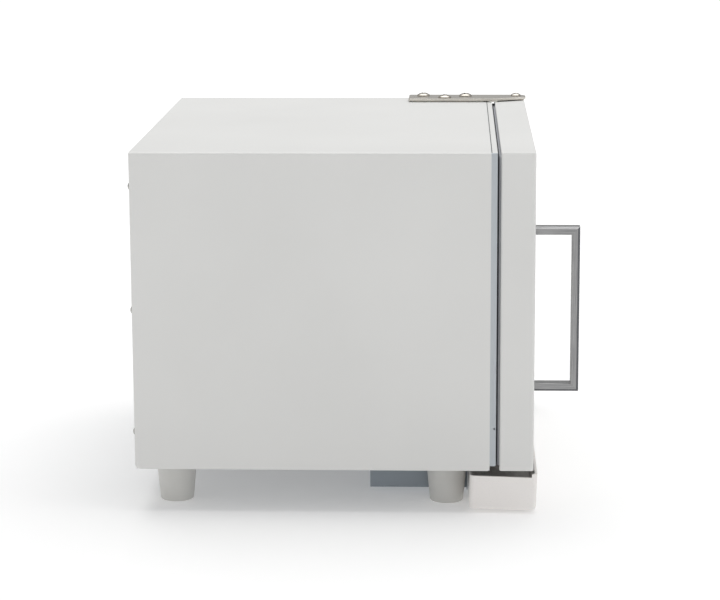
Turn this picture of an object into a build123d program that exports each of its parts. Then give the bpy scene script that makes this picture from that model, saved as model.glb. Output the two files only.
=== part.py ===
"""Benchtop autoclave: a steam chamber in a sheet-metal cabinet, with a side-hinged door.

Millimetres, +Z up, the front (door side) faces -Y and +X is to the right seen from the front.
The origin is at the middle of the overall footprint, on the surface that the feet stand on.
"""

import os
from math import cos, pi, radians, sin, sqrt

from build123d import *

os.makedirs("parts", exist_ok=True)

# ---------------------------------------------------------------- overall sizes
body_width = 470.0          # cabinet and door, side to side
body_height = 318.0         # cabinet and door, without the feet
cabinet_depth = 353.0       # the white wrap, front edge to rear edge
frame_depth = 6.0           # front frame standing ahead of the wrap
door_gap = 3.5              # between the front frame and the door
door_thickness = 34.0
handle_reach = 44.3         # handle, ahead of the door's face
rear_head_height = 2.2      # screw heads behind the rear face
foot_height = 44.0

# ---------------------------------------------------------------- sheets and clearances
sheet = 1.2                 # white painted sheet
frame_sheet = 1.5           # front frame and base pan
bend_radius = 2.5           # outside radius of a folded edge
fit_gap = 0.1               # between sheets that nest
loose_gap = 0.4             # between pieces that move past each other
running_gap = 0.05          # radial, shaft in its bore
screw_gap = 0.2             # radial, screw in its hole

# ---------------------------------------------------------------- places worked out
overall_depth = (handle_reach + door_thickness + door_gap + frame_depth
                 + cabinet_depth + rear_head_height)
y_handle = -overall_depth / 2
y_door = y_handle + handle_reach
y_door_back = y_door + door_thickness
y_frame = y_door_back + door_gap
y_wrap = y_frame + frame_depth
y_rear = y_wrap + cabinet_depth
z_low = foot_height
z_high = foot_height + body_height
z_axis = foot_height + body_height / 2
half = body_width / 2


# ---------------------------------------------------------------- shared forms
def facing_front(y):
    """An upright plane at y that faces the front: its x is +X and its y is +Z."""
    return Plane(origin=(0, y, 0), x_dir=(1, 0, 0), z_dir=(0, -1, 0))


def level(x, y, z):
    """A level plane with its origin at a point."""
    return Plane(origin=(x, y, z))


def block(low, high, mode=Mode.ADD):
    """A box between two corners, in the part being built."""
    middle = [(a + b) / 2 for a, b in zip(low, high)]
    size = [b - a for a, b in zip(low, high)]
    with Locations(tuple(middle)):
        Box(size[0], size[1], size[2], mode=mode)


def rod(start, axis, radius, length, mode=Mode.ADD):
    """A cylinder from a point along an axis, in the part being built."""
    with BuildSketch(Plane(origin=start, z_dir=axis)) as section:
        Circle(radius)
    extrude(section.sketch, amount=length, mode=mode)


def screw(start, axis, shank_radius, length, head_radius, head_height):
    """A dome-head screw: its shank runs from start along axis, its head stands the other way."""
    plane = Plane(origin=start, z_dir=axis)
    rod(start, axis, shank_radius, length)
    back = Plane(origin=start, z_dir=-plane.z_dir)
    dome = Plane(origin=start, x_dir=back.x_dir, z_dir=back.y_dir)
    rim = head_height * 0.3
    crown = head_radius * 0.2
    with BuildSketch(dome) as head:
        with BuildLine():
            Line((0, 0), (head_radius, 0))
            Line((head_radius, 0), (head_radius, -rim))
            ThreePointArc((head_radius, -rim), (head_radius * 0.74, -head_height * 0.78),
                          (crown, -head_height))
            Line((crown, -head_height), (0, -head_height))
            Line((0, -head_height), (0, 0))
        make_face()
    revolve(head.sketch, axis=Axis(start, axis))
    slot_width = head_radius * 0.22
    slot_depth = head_height * 0.45
    with BuildSketch(back.offset(head_height)) as cross:
        Rectangle(head_radius * 1.1, slot_width)
        Rectangle(slot_width, head_radius * 1.1)
    extrude(cross.sketch, amount=-slot_depth, mode=Mode.SUBTRACT)


def save(piece, label):
    """Labels a finished piece and writes its STEP file."""
    piece.part.label = label
    export_step(piece.part, f"parts/{label}.step")


# ================================================================ cabinet
# ---------------------------------------------------------------- rear screws' places
rear_flange = 14.0          # inward fold down the rear edges of the wrap
rear_screw_radius = 2.0
rear_head_radius = 3.8
rear_screw_pitch = 123.4
rear_screw_x = half - rear_flange / 2
rear_screw_heights = [z_axis + 1.5 + step * rear_screw_pitch for step in (-1, 0, 1)]
rear_screw_length = 9.0

# ---------------------------------------------------------------- hinge places
pivot_inset = 14.0          # hinge axis, in from the right side
pivot_setback = 9.5         # hinge axis, behind the door's face
pivot_x = half - pivot_inset
pivot_y = y_door + pivot_setback
hinge_sheet = 2.4
hinge_raise = 1.4           # shim between the plate and the cabinet
hinge_width = 44.0
hinge_edge_inset = 3.0      # plate, in from the right side
hinge_back_top = 88.5       # ends of the plates, behind the wrap's front edge
hinge_back_bottom = 16.5
hinge_screw_radius = 2.5
hinge_head_radius = 7.4
hinge_head_height = 3.6
hinge_screw_length = 12.0
hinge_screws_top = [
    (pivot_x - 0.5, y_wrap + 72.0),
    (pivot_x - 19.0, y_wrap + 47.5),
    (pivot_x - 3.5, y_wrap + 23.8),
]
hinge_screws_bottom = [
    (pivot_x, y_wrap + 9.0),
    (pivot_x - 21.0, y_wrap + 9.0),
]

# ---------------------------------------------------------------- feet places
foot_top_radius = 21.0
foot_bottom_radius = 17.0
foot_inset = 52.0
foot_front_y = y_wrap + 42.8
foot_rear_y = y_rear - 35.6
foot_screw_radius = 2.5
foot_places = {
    "foot_front_left": (-half + foot_inset, foot_front_y),
    "foot_front_right": (half - foot_inset, foot_front_y),
    "foot_rear_left": (-half + foot_inset, foot_rear_y),
    "foot_rear_right": (half - foot_inset, foot_rear_y),
}

# ---------------------------------------------------------------- outer wrap
# One folded sheet: the top and both sides, with a narrow fold inwards down the rear edges.
corner_rear = 5.0           # rounded lower rear corner of each side
corner_front = 3.0

with BuildPart() as outer_wrap:
    with BuildSketch(facing_front(y_wrap)):
        with Locations((0, z_axis)):
            Rectangle(body_width, body_height)
        with Locations((0, z_axis - sheet)):
            Rectangle(body_width - 2 * sheet, body_height, mode=Mode.SUBTRACT)
    extrude(amount=-cabinet_depth)
    folds = outer_wrap.edges().filter_by(Axis.Y)
    fillet(folds.group_by(Axis.Z)[-1], bend_radius)
    lower = outer_wrap.edges().filter_by(Axis.X).group_by(Axis.Z)[0]
    fillet(lower.group_by(Axis.Y)[-1], corner_rear)
    lower = outer_wrap.edges().filter_by(Axis.X).group_by(Axis.Z)[0]
    fillet(lower.group_by(Axis.Y)[0], corner_front)
    with BuildSketch(facing_front(y_rear - sheet)):
        with Locations((0, z_axis + corner_rear / 2)):
            Rectangle(body_width - 2 * bend_radius, body_height - corner_rear - 2 * sheet)
            Rectangle(body_width - 2 * rear_flange, body_height, mode=Mode.SUBTRACT)
    extrude(amount=-sheet)
    for side in (-1, 1):
        for height in rear_screw_heights:
            rod((side * rear_screw_x, y_rear + 1, height), (0, -1, 0),
                rear_screw_radius + screw_gap, 2 * sheet + 1, mode=Mode.SUBTRACT)
    for x, y in hinge_screws_top:
        rod((x, y, z_high + 1), (0, 0, -1), hinge_screw_radius + screw_gap, sheet + 2, mode=Mode.SUBTRACT)
save(outer_wrap, "outer_wrap")

# ---------------------------------------------------------------- base pan
# Floor of the cabinet, with its edges turned up inside the wrap.
pan_flange = 18.0
pan_rear = y_rear - 2 * sheet - fit_gap
pan_front = y_wrap + fit_gap
drain_width = 320.0         # the housing under the floor
drain_length = 100.0
drain_front = y_wrap + 21.2
drain_opening_margin = 30.0

with BuildPart() as base_pan:
    pan_half = half - sheet - fit_gap
    block((-pan_half, pan_front, z_low), (pan_half, pan_rear, z_low + pan_flange))
    block((-pan_half + frame_sheet, pan_front - 1, z_low + frame_sheet),
          (pan_half - frame_sheet, pan_rear + 1, z_low + pan_flange + 1), mode=Mode.SUBTRACT)
    for x, y in foot_places.values():
        rod((x, y, z_low - 1), (0, 0, 1), foot_screw_radius + screw_gap, frame_sheet + 2, mode=Mode.SUBTRACT)
    block((-drain_width / 2 + drain_opening_margin, drain_front + drain_opening_margin, z_low - 1),
          (drain_width / 2 - drain_opening_margin, drain_front + drain_length - drain_opening_margin,
           z_low + frame_sheet + 1), mode=Mode.SUBTRACT)
    with BuildSketch(level(0, y_rear - 90, z_low)):
        with GridLocations(26, 0, 7, 1):
            SlotOverall(60, 6, rotation=90)
    extrude(amount=frame_sheet, mode=Mode.SUBTRACT)
    for x, y in hinge_screws_bottom:
        rod((x, y, z_low - 1), (0, 0, 1), hinge_screw_radius + screw_gap, frame_sheet + 2, mode=Mode.SUBTRACT)
save(base_pan, "base_pan")

# ---------------------------------------------------------------- rear panel
# Lies inside the wrap's rear fold; carries the fan grille, inlet, switch, filter and valve openings.
panel_sheet = 1.2
panel_front = y_rear - sheet - panel_sheet
fan_size = 80.0
fan_x = half - 52.0
fan_z = z_low + 50.0
inlet_x = -half + 60.0
inlet_z = z_low + 46.0
inlet_width = 28.0
inlet_height = 20.5
switch_x = inlet_x + 48.0
switch_width = 13.0
switch_height = 19.5
filter_x = -half + 52.0
filter_z = z_high - 50.0
filter_radius = 27.0
valve_knob_radius = 8.0

with BuildPart() as rear_panel:
    panel_half = half - sheet - fit_gap
    block((-panel_half, panel_front, z_low + fit_gap),
          (panel_half, panel_front + panel_sheet, z_high - sheet - fit_gap))
    with BuildSketch(facing_front(panel_front)):
        with Locations((fan_x, fan_z)):
            with PolarLocations(fan_size * 0.36, 12):
                SlotOverall(16, 5, rotation=0)
            with PolarLocations(fan_size * 0.13, 6):
                Circle(2.6)
        with Locations((inlet_x, inlet_z)):
            Rectangle(inlet_width, inlet_height)
        with Locations((switch_x, inlet_z)):
            Rectangle(switch_width, switch_height)
        with Locations((filter_x, filter_z)):
            Circle(filter_radius + 1.0)
        with Locations((0, z_axis)):
            Circle(valve_knob_radius + 1.5)
        with Locations((half - 82, z_high - 60)):
            with GridLocations(10, 0, 9, 1):
                SlotOverall(56, 4.5, rotation=90)
    extrude(amount=-panel_sheet, mode=Mode.SUBTRACT)
    for side in (-1, 1):
        for height in rear_screw_heights:
            rod((side * rear_screw_x, y_rear + 1, height), (0, -1, 0),
                rear_screw_radius + fit_gap, rear_screw_length + 2, mode=Mode.SUBTRACT)
save(rear_panel, "rear_panel")

# ---------------------------------------------------------------- rear screws
with BuildPart() as rear_screws:
    for side in (-1, 1):
        for height in rear_screw_heights:
            screw((side * rear_screw_x, y_rear, height), (0, -1, 0), rear_screw_radius,
                  rear_screw_length, rear_head_radius, rear_head_height)
save(rear_screws, "rear_screws")

# ---------------------------------------------------------------- chamber places
chamber_radius = 110.0      # inside of the steam chamber
chamber_wall = 2.5
chamber_depth = 272.0       # straight part, from the flange face
dish_depth = 28.0
gasket_lap = 4.0            # chamber wall to gasket
gasket_width = 8.0
plate_margin = 1.0          # pressure plate, outside the gasket
lug_height = 10.0           # lugs round the pressure plate
swing_gap = 3.8             # plate to the ring's lugs, so that the door can swing in
lug_gap = 4.5               # plate's lugs to the ring's bore, for the same reason
ring_wall = 6.5
ring_width = 16.0
ring_lug_width = 7.0
ring_lug_angle = 20.0
lug_count = 8
plate_lug_width = 6.0
plate_lug_angle = 18.0
rim_wall = 4.5
flange_width = 12.0
gasket_seat = 1.8           # flange face, behind the ring and the plate
gasket_inner = chamber_radius + gasket_lap
plate_radius = gasket_inner + gasket_width + plate_margin
plate_lug_radius = plate_radius + lug_height
ring_lug_radius = plate_radius + swing_gap
ring_bore = plate_lug_radius + lug_gap
tooth_module = 2.0
ring_teeth = round(2 * (ring_bore + ring_wall) / tooth_module) + 2
ring_pitch_radius = ring_teeth * tooth_module / 2
ring_radius = ring_pitch_radius - tooth_module      # root of the ring's teeth
opening_radius = ring_bore              # hole in the front frame
y_ring = y_frame + frame_sheet + 2 * loose_gap
y_plate_back = y_ring + ring_width
y_flange = y_plate_back + gasket_seat
rim_radius = ring_radius + loose_gap + rim_wall

# ---------------------------------------------------------------- ring teeth
pinion_teeth = 12
pinion_pitch_radius = pinion_teeth * tooth_module / 2
tooth_root = 0.9 * tooth_module     # half width of the tooth zone below the pitch line
tooth_tip = 0.75 * tooth_module     # above the pitch line
tooth_thickness = 2.3               # at the pitch line, less than half the pitch
tooth_slope = 0.36                  # flank lean
pinion_x = ring_pitch_radius + pinion_pitch_radius
lock_turn = 360 / lug_count / 2     # degrees


def gear_tooth(pitch_radius, angle, root_depth):
    """One tooth on an upright sketch, pointing out from the middle at an angle."""
    inner = pitch_radius - root_depth
    outer = pitch_radius + tooth_tip
    root_half = tooth_thickness / 2 + tooth_slope * tooth_root
    tip_half = tooth_thickness / 2 - tooth_slope * tooth_tip
    corners = [(inner, -root_half), (outer, -tip_half), (outer, tip_half), (inner, root_half)]
    turn = radians(angle)
    turned = [(x * cos(turn) - y * sin(turn), x * sin(turn) + y * cos(turn)) for x, y in corners]
    Polygon(*turned, align=None)


def lug_ring(outer, inner, lug_angle, turn):
    """Equal lugs round a circle, from an inner to an outer radius, in the sketch being drawn."""
    Circle(outer)
    gap_half = 180 / lug_count - lug_angle / 2
    reach = outer * 1.2
    for number in range(lug_count):
        middle = (number + 1) * 360 / lug_count + turn
        start = radians(middle - gap_half)
        stop = radians(middle + gap_half)
        Polygon((0, 0), (reach * cos(start), reach * sin(start)), (reach * cos(stop), reach * sin(stop)),
                align=None, mode=Mode.SUBTRACT)
    Circle(inner, mode=Mode.SUBTRACT)


# ---------------------------------------------------------------- front frame
# Pressed frame round the chamber mouth. Its edge shows between the wrap and the door.
seam_hole_radius = 1.0
seam_hole_setback = 1.6     # behind the frame's face
seam_hole_height = 43.0     # above the cabinet's lower edge
frame_tuck = 10.0           # how far the frame reaches inside the wrap
frame_lift = 5.0            # frame's lower edge, above the cabinet's
magnet_radius = 6.0
magnet_x = -half + 26.0
magnet_heights = [z_axis - 60.0, z_axis + 60.0]
cap_radius = 19.0           # filler cap, in a recess of the frame
cap_x = -half + 44.0
cap_z = z_high - 46.0

with BuildPart() as front_frame:
    block((-half, y_frame, z_low + frame_lift), (half, y_wrap, z_high))
    fillet(front_frame.edges().filter_by(Axis.Y).group_by(Axis.Z)[-1], bend_radius)
    tuck_half = half - sheet - fit_gap
    block((-tuck_half, y_wrap, z_low + frame_lift),
          (tuck_half, y_wrap + frame_tuck, z_high - sheet - fit_gap))
    inner_half = tuck_half - frame_sheet
    block((-inner_half, y_frame + frame_sheet, z_low + frame_sheet + pan_flange + 1.0),
          (inner_half, y_wrap + frame_tuck, z_high - sheet - fit_gap - frame_sheet), mode=Mode.SUBTRACT)
    block((-tuck_half, y_wrap, z_low), (tuck_half, y_wrap + frame_tuck, z_low + pan_flange + 1.0),
          mode=Mode.SUBTRACT)
    block((-inner_half, y_frame + frame_sheet, z_low + frame_lift + frame_sheet),
          (inner_half, y_wrap + frame_tuck, z_axis), mode=Mode.SUBTRACT)
    rod((0, y_frame - 1, z_axis), (0, 1, 0), opening_radius, frame_sheet + 2, mode=Mode.SUBTRACT)
    rod((cap_x, y_frame - 1, cap_z), (0, 1, 0), cap_radius + 1.5, frame_sheet + 2, mode=Mode.SUBTRACT)
    for height in magnet_heights:
        rod((magnet_x, y_frame - 1, height), (0, 1, 0), magnet_radius + fit_gap, frame_sheet + 2,
            mode=Mode.SUBTRACT)
    rod((-half - 1, y_frame + seam_hole_setback, z_low + seam_hole_height), (1, 0, 0),
        seam_hole_radius, 4.0, mode=Mode.SUBTRACT)
save(front_frame, "front_frame")

# ---------------------------------------------------------------- catch magnets
magnet_stand = 2.6          # ahead of the frame, towards the steel door liner
with BuildPart() as catch_magnets:
    for height in magnet_heights:
        rod((magnet_x, y_frame - magnet_stand, height), (0, 1, 0), magnet_radius, 10.0)
        rod((magnet_x, y_frame + frame_sheet, height), (0, 1, 0), magnet_radius + 3.0, 3.0)
save(catch_magnets, "catch_magnets")

# ---------------------------------------------------------------- chamber flange
# Machined ring welded to the vessel. Its rim carries the locking ring, and is open at the pinion.
ear_reach = 28.0
ear_height = 52.0
gasket_groove = 4.0

with BuildPart() as chamber_flange:
    with BuildSketch(facing_front(y_flange)):
        with Locations((0, z_axis)):
            Circle(rim_radius)
            with Locations((pinion_x - 4, 0)):
                Rectangle(2 * ear_reach, ear_height)
            Circle(chamber_radius + chamber_wall, mode=Mode.SUBTRACT)
    extrude(amount=-flange_width)
    with BuildSketch(facing_front(y_frame + frame_sheet)):
        with Locations((0, z_axis)):
            Circle(rim_radius)
            Circle(ring_radius + loose_gap, mode=Mode.SUBTRACT)
            with Locations((rim_radius, 0)):
                Rectangle(rim_radius / 2, 2 * rim_radius * sin(radians(36)), mode=Mode.SUBTRACT)
    extrude(amount=-(y_flange - y_frame - frame_sheet))
    with BuildSketch(facing_front(y_flange)):
        with Locations((0, z_axis)):
            Circle(gasket_inner + gasket_width)
            Circle(gasket_inner, mode=Mode.SUBTRACT)
    extrude(amount=-gasket_groove, mode=Mode.SUBTRACT)
    rod((pinion_x, y_flange - 1, z_axis), (0, 1, 0), 9.0, flange_width + 2, mode=Mode.SUBTRACT)
save(chamber_flange, "chamber_flange")

# ---------------------------------------------------------------- chamber gasket
gasket_stand = gasket_seat - 0.4
with BuildPart() as chamber_gasket:
    with BuildSketch(facing_front(y_flange - gasket_stand)):
        with Locations((0, z_axis)):
            Circle(gasket_inner + gasket_width - fit_gap)
            Circle(gasket_inner + fit_gap, mode=Mode.SUBTRACT)
    extrude(amount=-(gasket_stand + gasket_groove))
    fillet(chamber_gasket.edges().filter_by(GeomType.CIRCLE).group_by(Axis.Y)[0], 1.2)
save(chamber_gasket, "chamber_gasket")

# ---------------------------------------------------------------- chamber vessel
# Deep-drawn stainless cylinder with a dished end and a threaded boss for the safety valve.
boss_radius = 12.0
dish_back = y_flange + chamber_depth + dish_depth + chamber_wall
with BuildPart() as chamber_vessel:
    outside = chamber_radius + chamber_wall
    with BuildSketch(Plane.YZ):
        with BuildLine():
            Line((y_flange, z_axis), (y_flange, z_axis + outside))
            Line((y_flange, z_axis + outside), (y_flange + chamber_depth, z_axis + outside))
            EllipticalCenterArc((y_flange + chamber_depth, z_axis), dish_depth + chamber_wall, outside,
                                0, arc_size=90)
            Line((dish_back, z_axis), (y_flange, z_axis))
        make_face()
    revolve(axis=Axis((0, 0, z_axis), (0, 1, 0)))
    with BuildSketch(Plane.YZ):
        with BuildLine():
            Line((y_flange - 1, z_axis), (y_flange - 1, z_axis + chamber_radius))
            Line((y_flange - 1, z_axis + chamber_radius), (y_flange + chamber_depth, z_axis + chamber_radius))
            EllipticalCenterArc((y_flange + chamber_depth, z_axis), dish_depth, chamber_radius,
                                0, arc_size=90)
            Line((dish_back - chamber_wall, z_axis), (y_flange - 1, z_axis))
        make_face()
    revolve(axis=Axis((0, 0, z_axis), (0, 1, 0)), mode=Mode.SUBTRACT)
    rod((0, dish_back - chamber_wall, z_axis), (0, 1, 0), boss_radius, chamber_wall + 3.0)
    rod((0, dish_back - 10, z_axis), (0, 1, 0), 3.0, 20.0, mode=Mode.SUBTRACT)
save(chamber_vessel, "chamber_vessel")

# ---------------------------------------------------------------- heater band and insulation
outside = chamber_radius + chamber_wall
band_thickness = 4.0
band_length = 120.0
band_start = y_flange + flange_width + 14.0
with BuildPart() as heater_band:
    with BuildSketch(facing_front(band_start)):
        with Locations((0, z_axis)):
            Circle(outside + fit_gap + band_thickness)
            Circle(outside + fit_gap, mode=Mode.SUBTRACT)
            with Locations((0, -outside - band_thickness)):
                Rectangle(8, 14, mode=Mode.SUBTRACT)
    extrude(amount=-band_length)
save(heater_band, "heater_band")

jacket_gap = 1.0
jacket_thickness = 15.0
jacket_length = 246.0
jacket_inner = outside + fit_gap + band_thickness + jacket_gap
with BuildPart() as insulation_jacket:
    with BuildSketch(facing_front(y_flange + flange_width + 2.0)):
        with Locations((0, z_axis)):
            Circle(jacket_inner + jacket_thickness)
            Circle(jacket_inner, mode=Mode.SUBTRACT)
    extrude(amount=-jacket_length)
save(insulation_jacket, "insulation_jacket")

# ---------------------------------------------------------------- chamber saddle
saddle_y = y_flange + flange_width + 2.0 + jacket_length + 1.0
saddle_depth = 10.0
saddle_half = 90.0
with BuildPart() as chamber_saddle:
    with BuildSketch(facing_front(saddle_y)):
        with Locations((0, (z_low + frame_sheet + z_axis) / 2 - 15)):
            Rectangle(2 * saddle_half, z_axis - z_low - frame_sheet - 30)
        with Locations((0, z_axis)):
            Circle(outside + fit_gap, mode=Mode.SUBTRACT)
    extrude(amount=-saddle_depth)
    foot_low = z_low + frame_sheet
    block((-saddle_half, saddle_y - 12, foot_low), (saddle_half, saddle_y, foot_low + 3))
save(chamber_saddle, "chamber_saddle")

# ---------------------------------------------------------------- tray rack and trays
rack_sheet = 1.5
rack_depth = 255.0
rack_start = y_flange + 8.0
rack_corner_gap = 2.2       # lower corners of the rack to the chamber's wall
rack_corner_angle = 42.5    # of the lower corners, below the chamber's axis
rack_top_gap = 14.3         # upper corners of the rack to the chamber's wall
rack_strap = 10.0           # cross straps under the rack
rack_strap_inset = 15.0
ledge = 8.0
tray_lift = 22.0            # lower tray, above the rack's foot
tray_top_space = 46.0       # upper tray's ledge to the top of the rack
rack_outer = (chamber_radius - rack_corner_gap) * cos(radians(rack_corner_angle))
rack_drop = (chamber_radius - rack_corner_gap) * sin(radians(rack_corner_angle))
rack_half = rack_outer - rack_sheet
rack_rise = sqrt((chamber_radius - rack_top_gap) ** 2 - rack_outer ** 2)
tray_levels = [tray_lift - rack_drop, rack_rise - tray_top_space]
tray_wall = 1.0
tray_height = 20.0
tray_depth = 250.0
tray_slot_width = 7.0
tray_slot_pitch = 26.0
tray_slot_space = 10.0      # between the slots across the tray's floor
tray_slot_margin = 16.0     # beside them
side_slot_margin = 2.0      # steam slots in the rack, above the tray's rim
side_slot_share = 0.44      # of the space between the lower tray's rim and the upper ledge
side_slot_height = side_slot_share * (tray_levels[1] - tray_levels[0] - tray_height - rack_sheet)
side_slot_rise = tray_height + side_slot_margin + side_slot_height / 2

with BuildPart() as tray_rack:
    for side in (-1, 1):
        wall_in = side * rack_half
        wall_out = side * (rack_half + rack_sheet)
        block((min(wall_in, wall_out), rack_start, z_axis - rack_drop),
              (max(wall_in, wall_out), rack_start + rack_depth, z_axis + rack_rise))
        for rise in tray_levels:
            edge = side * (rack_half - ledge)
            block((min(edge, wall_in), rack_start, z_axis + rise - rack_sheet),
                  (max(edge, wall_in), rack_start + rack_depth, z_axis + rise))
    for place in (rack_start + rack_strap_inset, rack_start + rack_depth - rack_strap_inset - rack_strap):
        block((-rack_half, place, z_axis - rack_drop),
              (rack_half, place + rack_strap, z_axis - rack_drop + rack_sheet))
    with BuildSketch(Plane.YZ.offset(-rack_half - 2 * rack_sheet)):
        for rise in tray_levels:
            with Locations((rack_start + rack_depth / 2, z_axis + rise + side_slot_rise)):
                with GridLocations(60, 0, 4, 1):
                    SlotOverall(44, side_slot_height)
    extrude(amount=2 * rack_half + 4 * rack_sheet, mode=Mode.SUBTRACT)
save(tray_rack, "tray_rack")

for name, rise in zip(("tray_lower", "tray_upper"), tray_levels):
    with BuildPart() as tray:
        wide = rack_half - loose_gap
        low_z = z_axis + rise + 0.05
        block((-wide, rack_start + 2, low_z), (wide, rack_start + 2 + tray_depth, low_z + tray_height))
        block((-wide + tray_wall, rack_start + 2 + tray_wall, low_z + tray_wall),
              (wide - tray_wall, rack_start + 2 + tray_depth - tray_wall, low_z + tray_height + 1),
              mode=Mode.SUBTRACT)
        slot_length = (2 * wide - 2 * tray_slot_margin - 2 * tray_slot_space) / 3
        with BuildSketch(level(0, rack_start + 2 + tray_depth / 2, low_z)):
            with GridLocations(slot_length + tray_slot_space, tray_slot_pitch, 3, 8):
                SlotOverall(slot_length, tray_slot_width)
        extrude(amount=tray_wall, mode=Mode.SUBTRACT)
    save(tray, name)

# ---------------------------------------------------------------- locking ring and pinion
with BuildPart() as locking_ring:
    with BuildSketch(facing_front(y_ring)):
        with Locations((0, z_axis)):
            Circle(ring_radius)
            Circle(ring_bore, mode=Mode.SUBTRACT)
    extrude(amount=-ring_width)
    with BuildSketch(facing_front(y_ring)):
        with Locations((0, z_axis)):
            lug_ring(ring_bore + 1.0, ring_lug_radius, ring_lug_angle, lock_turn)
    extrude(amount=-ring_lug_width)
    with BuildSketch(facing_front(y_ring)):
        with Locations((0, z_axis)):
            Circle(ring_radius - 0.2)
            Circle(ring_bore, mode=Mode.SUBTRACT)
    extrude(amount=-ring_width)
    with BuildSketch(facing_front(y_ring)):
        tooth_angle = 360 / ring_teeth
        with Locations((0, z_axis)):
            for number in range(-12, 3):
                gear_tooth(ring_pitch_radius, (number + 0.5) * tooth_angle, tooth_module + 1.0)
    extrude(amount=-(ring_width - 2.0))
save(locking_ring, "locking_ring")

pinion_width = 13.0
pinion_hub = 5.0
with BuildPart() as lock_pinion:
    plane = Plane(origin=(pinion_x, y_ring, z_axis), x_dir=(1, 0, 0), z_dir=(0, -1, 0))
    with BuildSketch(plane):
        Circle(pinion_pitch_radius - 1.25 * tooth_module)
        for number in range(pinion_teeth):
            gear_tooth(pinion_pitch_radius, 180 + number * 360 / pinion_teeth, tooth_module * 1.35)
        Circle(4.0, mode=Mode.SUBTRACT)
    extrude(amount=-pinion_width)
save(lock_pinion, "lock_pinion")

# ---------------------------------------------------------------- lock motor
motor_radius = 19.0
motor_length = 62.0
motor_y = y_flange + flange_width
with BuildPart() as lock_motor:
    rod((pinion_x, motor_y, z_axis), (0, 1, 0), motor_radius, 24.0)
    rod((pinion_x, motor_y + 24.0, z_axis), (0, 1, 0), motor_radius - 3.0, motor_length - 24.0)
    rod((pinion_x, motor_y + 0.5, z_axis), (0, -1, 0), 4.0 - running_gap, motor_y + 0.5 - y_ring - 1.0)
save(lock_motor, "lock_motor")

# ---------------------------------------------------------------- filler cap and water reservoir
tank_right = -rim_radius - 6.0
tank_left = -half + sheet + 4.0
tank_front = y_wrap + frame_tuck + 4.0
tank_back = tank_front + 142.0
tank_low = z_axis + 6.0
tank_high = z_high - sheet - 6.0
tank_wall = 2.0
neck_radius = 15.0
neck_bore = 12.0
cap_front = y_frame + 1.0
cap_depth = 9.0

with BuildPart() as water_reservoir:
    block((tank_left, tank_front, tank_low), (tank_right, tank_back, tank_high))
    fillet(water_reservoir.edges().filter_by(Axis.Y), 6.0)
    block((tank_left + tank_wall, tank_front + tank_wall, tank_low + tank_wall),
          (tank_right - tank_wall, tank_back - tank_wall, tank_high - tank_wall), mode=Mode.SUBTRACT)
    rod((cap_x, cap_front + 3.0, cap_z), (0, 1, 0), neck_radius, tank_front - cap_front - 2.0)
    rod((cap_x, cap_front + 2.0, cap_z), (0, 1, 0), neck_bore, tank_front - cap_front + 4.0,
        mode=Mode.SUBTRACT)
save(water_reservoir, "water_reservoir")

with BuildPart() as filler_cap:
    rod((cap_x, cap_front, cap_z), (0, 1, 0), cap_radius, cap_depth)
    rod((cap_x, cap_front + 2.6, cap_z), (0, 1, 0), neck_radius + running_gap, cap_depth, mode=Mode.SUBTRACT)
    with BuildSketch(facing_front(cap_front)):
        with Locations((cap_x, cap_z)):
            with Locations((0, 8.5), (0, -8.5)):
                Rectangle(2.4 * cap_radius * 0.6, 8.0)
    extrude(amount=-1.6, mode=Mode.SUBTRACT)
save(filler_cap, "filler_cap")

# ---------------------------------------------------------------- pump and valves
pump_x = -half + 46.0
pump_z = z_low + frame_sheet + 32.0
pump_front = y_wrap + 64.0
pump_length = 96.0
pump_radius = 20.0
with BuildPart() as water_pump:
    rod((pump_x, pump_front, pump_z), (0, 1, 0), pump_radius, pump_length * 0.6)
    rod((pump_x, pump_front + pump_length * 0.6, pump_z), (0, 1, 0), pump_radius * 0.6, pump_length * 0.4)
    for place in (pump_front + 6, pump_front + pump_length * 0.6 - 10):
        block((pump_x - 16, place, z_low + frame_sheet), (pump_x + 16, place + 4, pump_z))
    block((pump_x - 22, pump_front, z_low + frame_sheet),
          (pump_x + 22, pump_front + pump_length * 0.6, z_low + frame_sheet + 3))
save(water_pump, "water_pump")

valve_front = pump_front + pump_length + 30.0
valve_pitch = 34.0
with BuildPart() as solenoid_valves:
    block((pump_x - 14, valve_front, z_low + frame_sheet),
          (pump_x + 14, valve_front + 3 * valve_pitch, z_low + frame_sheet + 22))
    for number in range(3):
        centre = valve_front + (number + 0.5) * valve_pitch
        rod((pump_x, centre, z_low + frame_sheet + 22), (0, 0, 1), 7.0, 40.0)
        block((pump_x - 15, centre - 13, z_low + frame_sheet + 26),
              (pump_x + 15, centre + 13, z_low + frame_sheet + 56))
save(solenoid_valves, "solenoid_valves")

# ---------------------------------------------------------------- safety valve and its pull knob
valve_start = dish_back + 3.0
knob_front = panel_front - 4.0
knob_travel = 3.0
knob_length = y_rear + 1.4 - knob_front
with BuildPart() as safety_valve:
    with BuildSketch(facing_front(valve_start)):
        with Locations((0, z_axis)):
            RegularPolygon(11.0, 6)
            Circle(3.0, mode=Mode.SUBTRACT)
    extrude(amount=-(knob_front - 1.0 - valve_start))
save(safety_valve, "safety_valve")

with BuildPart() as safety_valve_knob:
    rod((0, knob_front, z_axis), (0, 1, 0), valve_knob_radius, knob_length)
    rod((0, knob_front + 0.5, z_axis), (0, -1, 0), 3.0 - running_gap, knob_front - valve_start - 1.0)
    with BuildSketch(facing_front(y_rear)):
        with Locations((0, z_axis)):
            Circle(valve_knob_radius + 1)
            Circle(valve_knob_radius - 1.0, mode=Mode.SUBTRACT)
    extrude(amount=1.2, mode=Mode.SUBTRACT)
save(safety_valve_knob, "safety_valve_knob")

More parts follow.
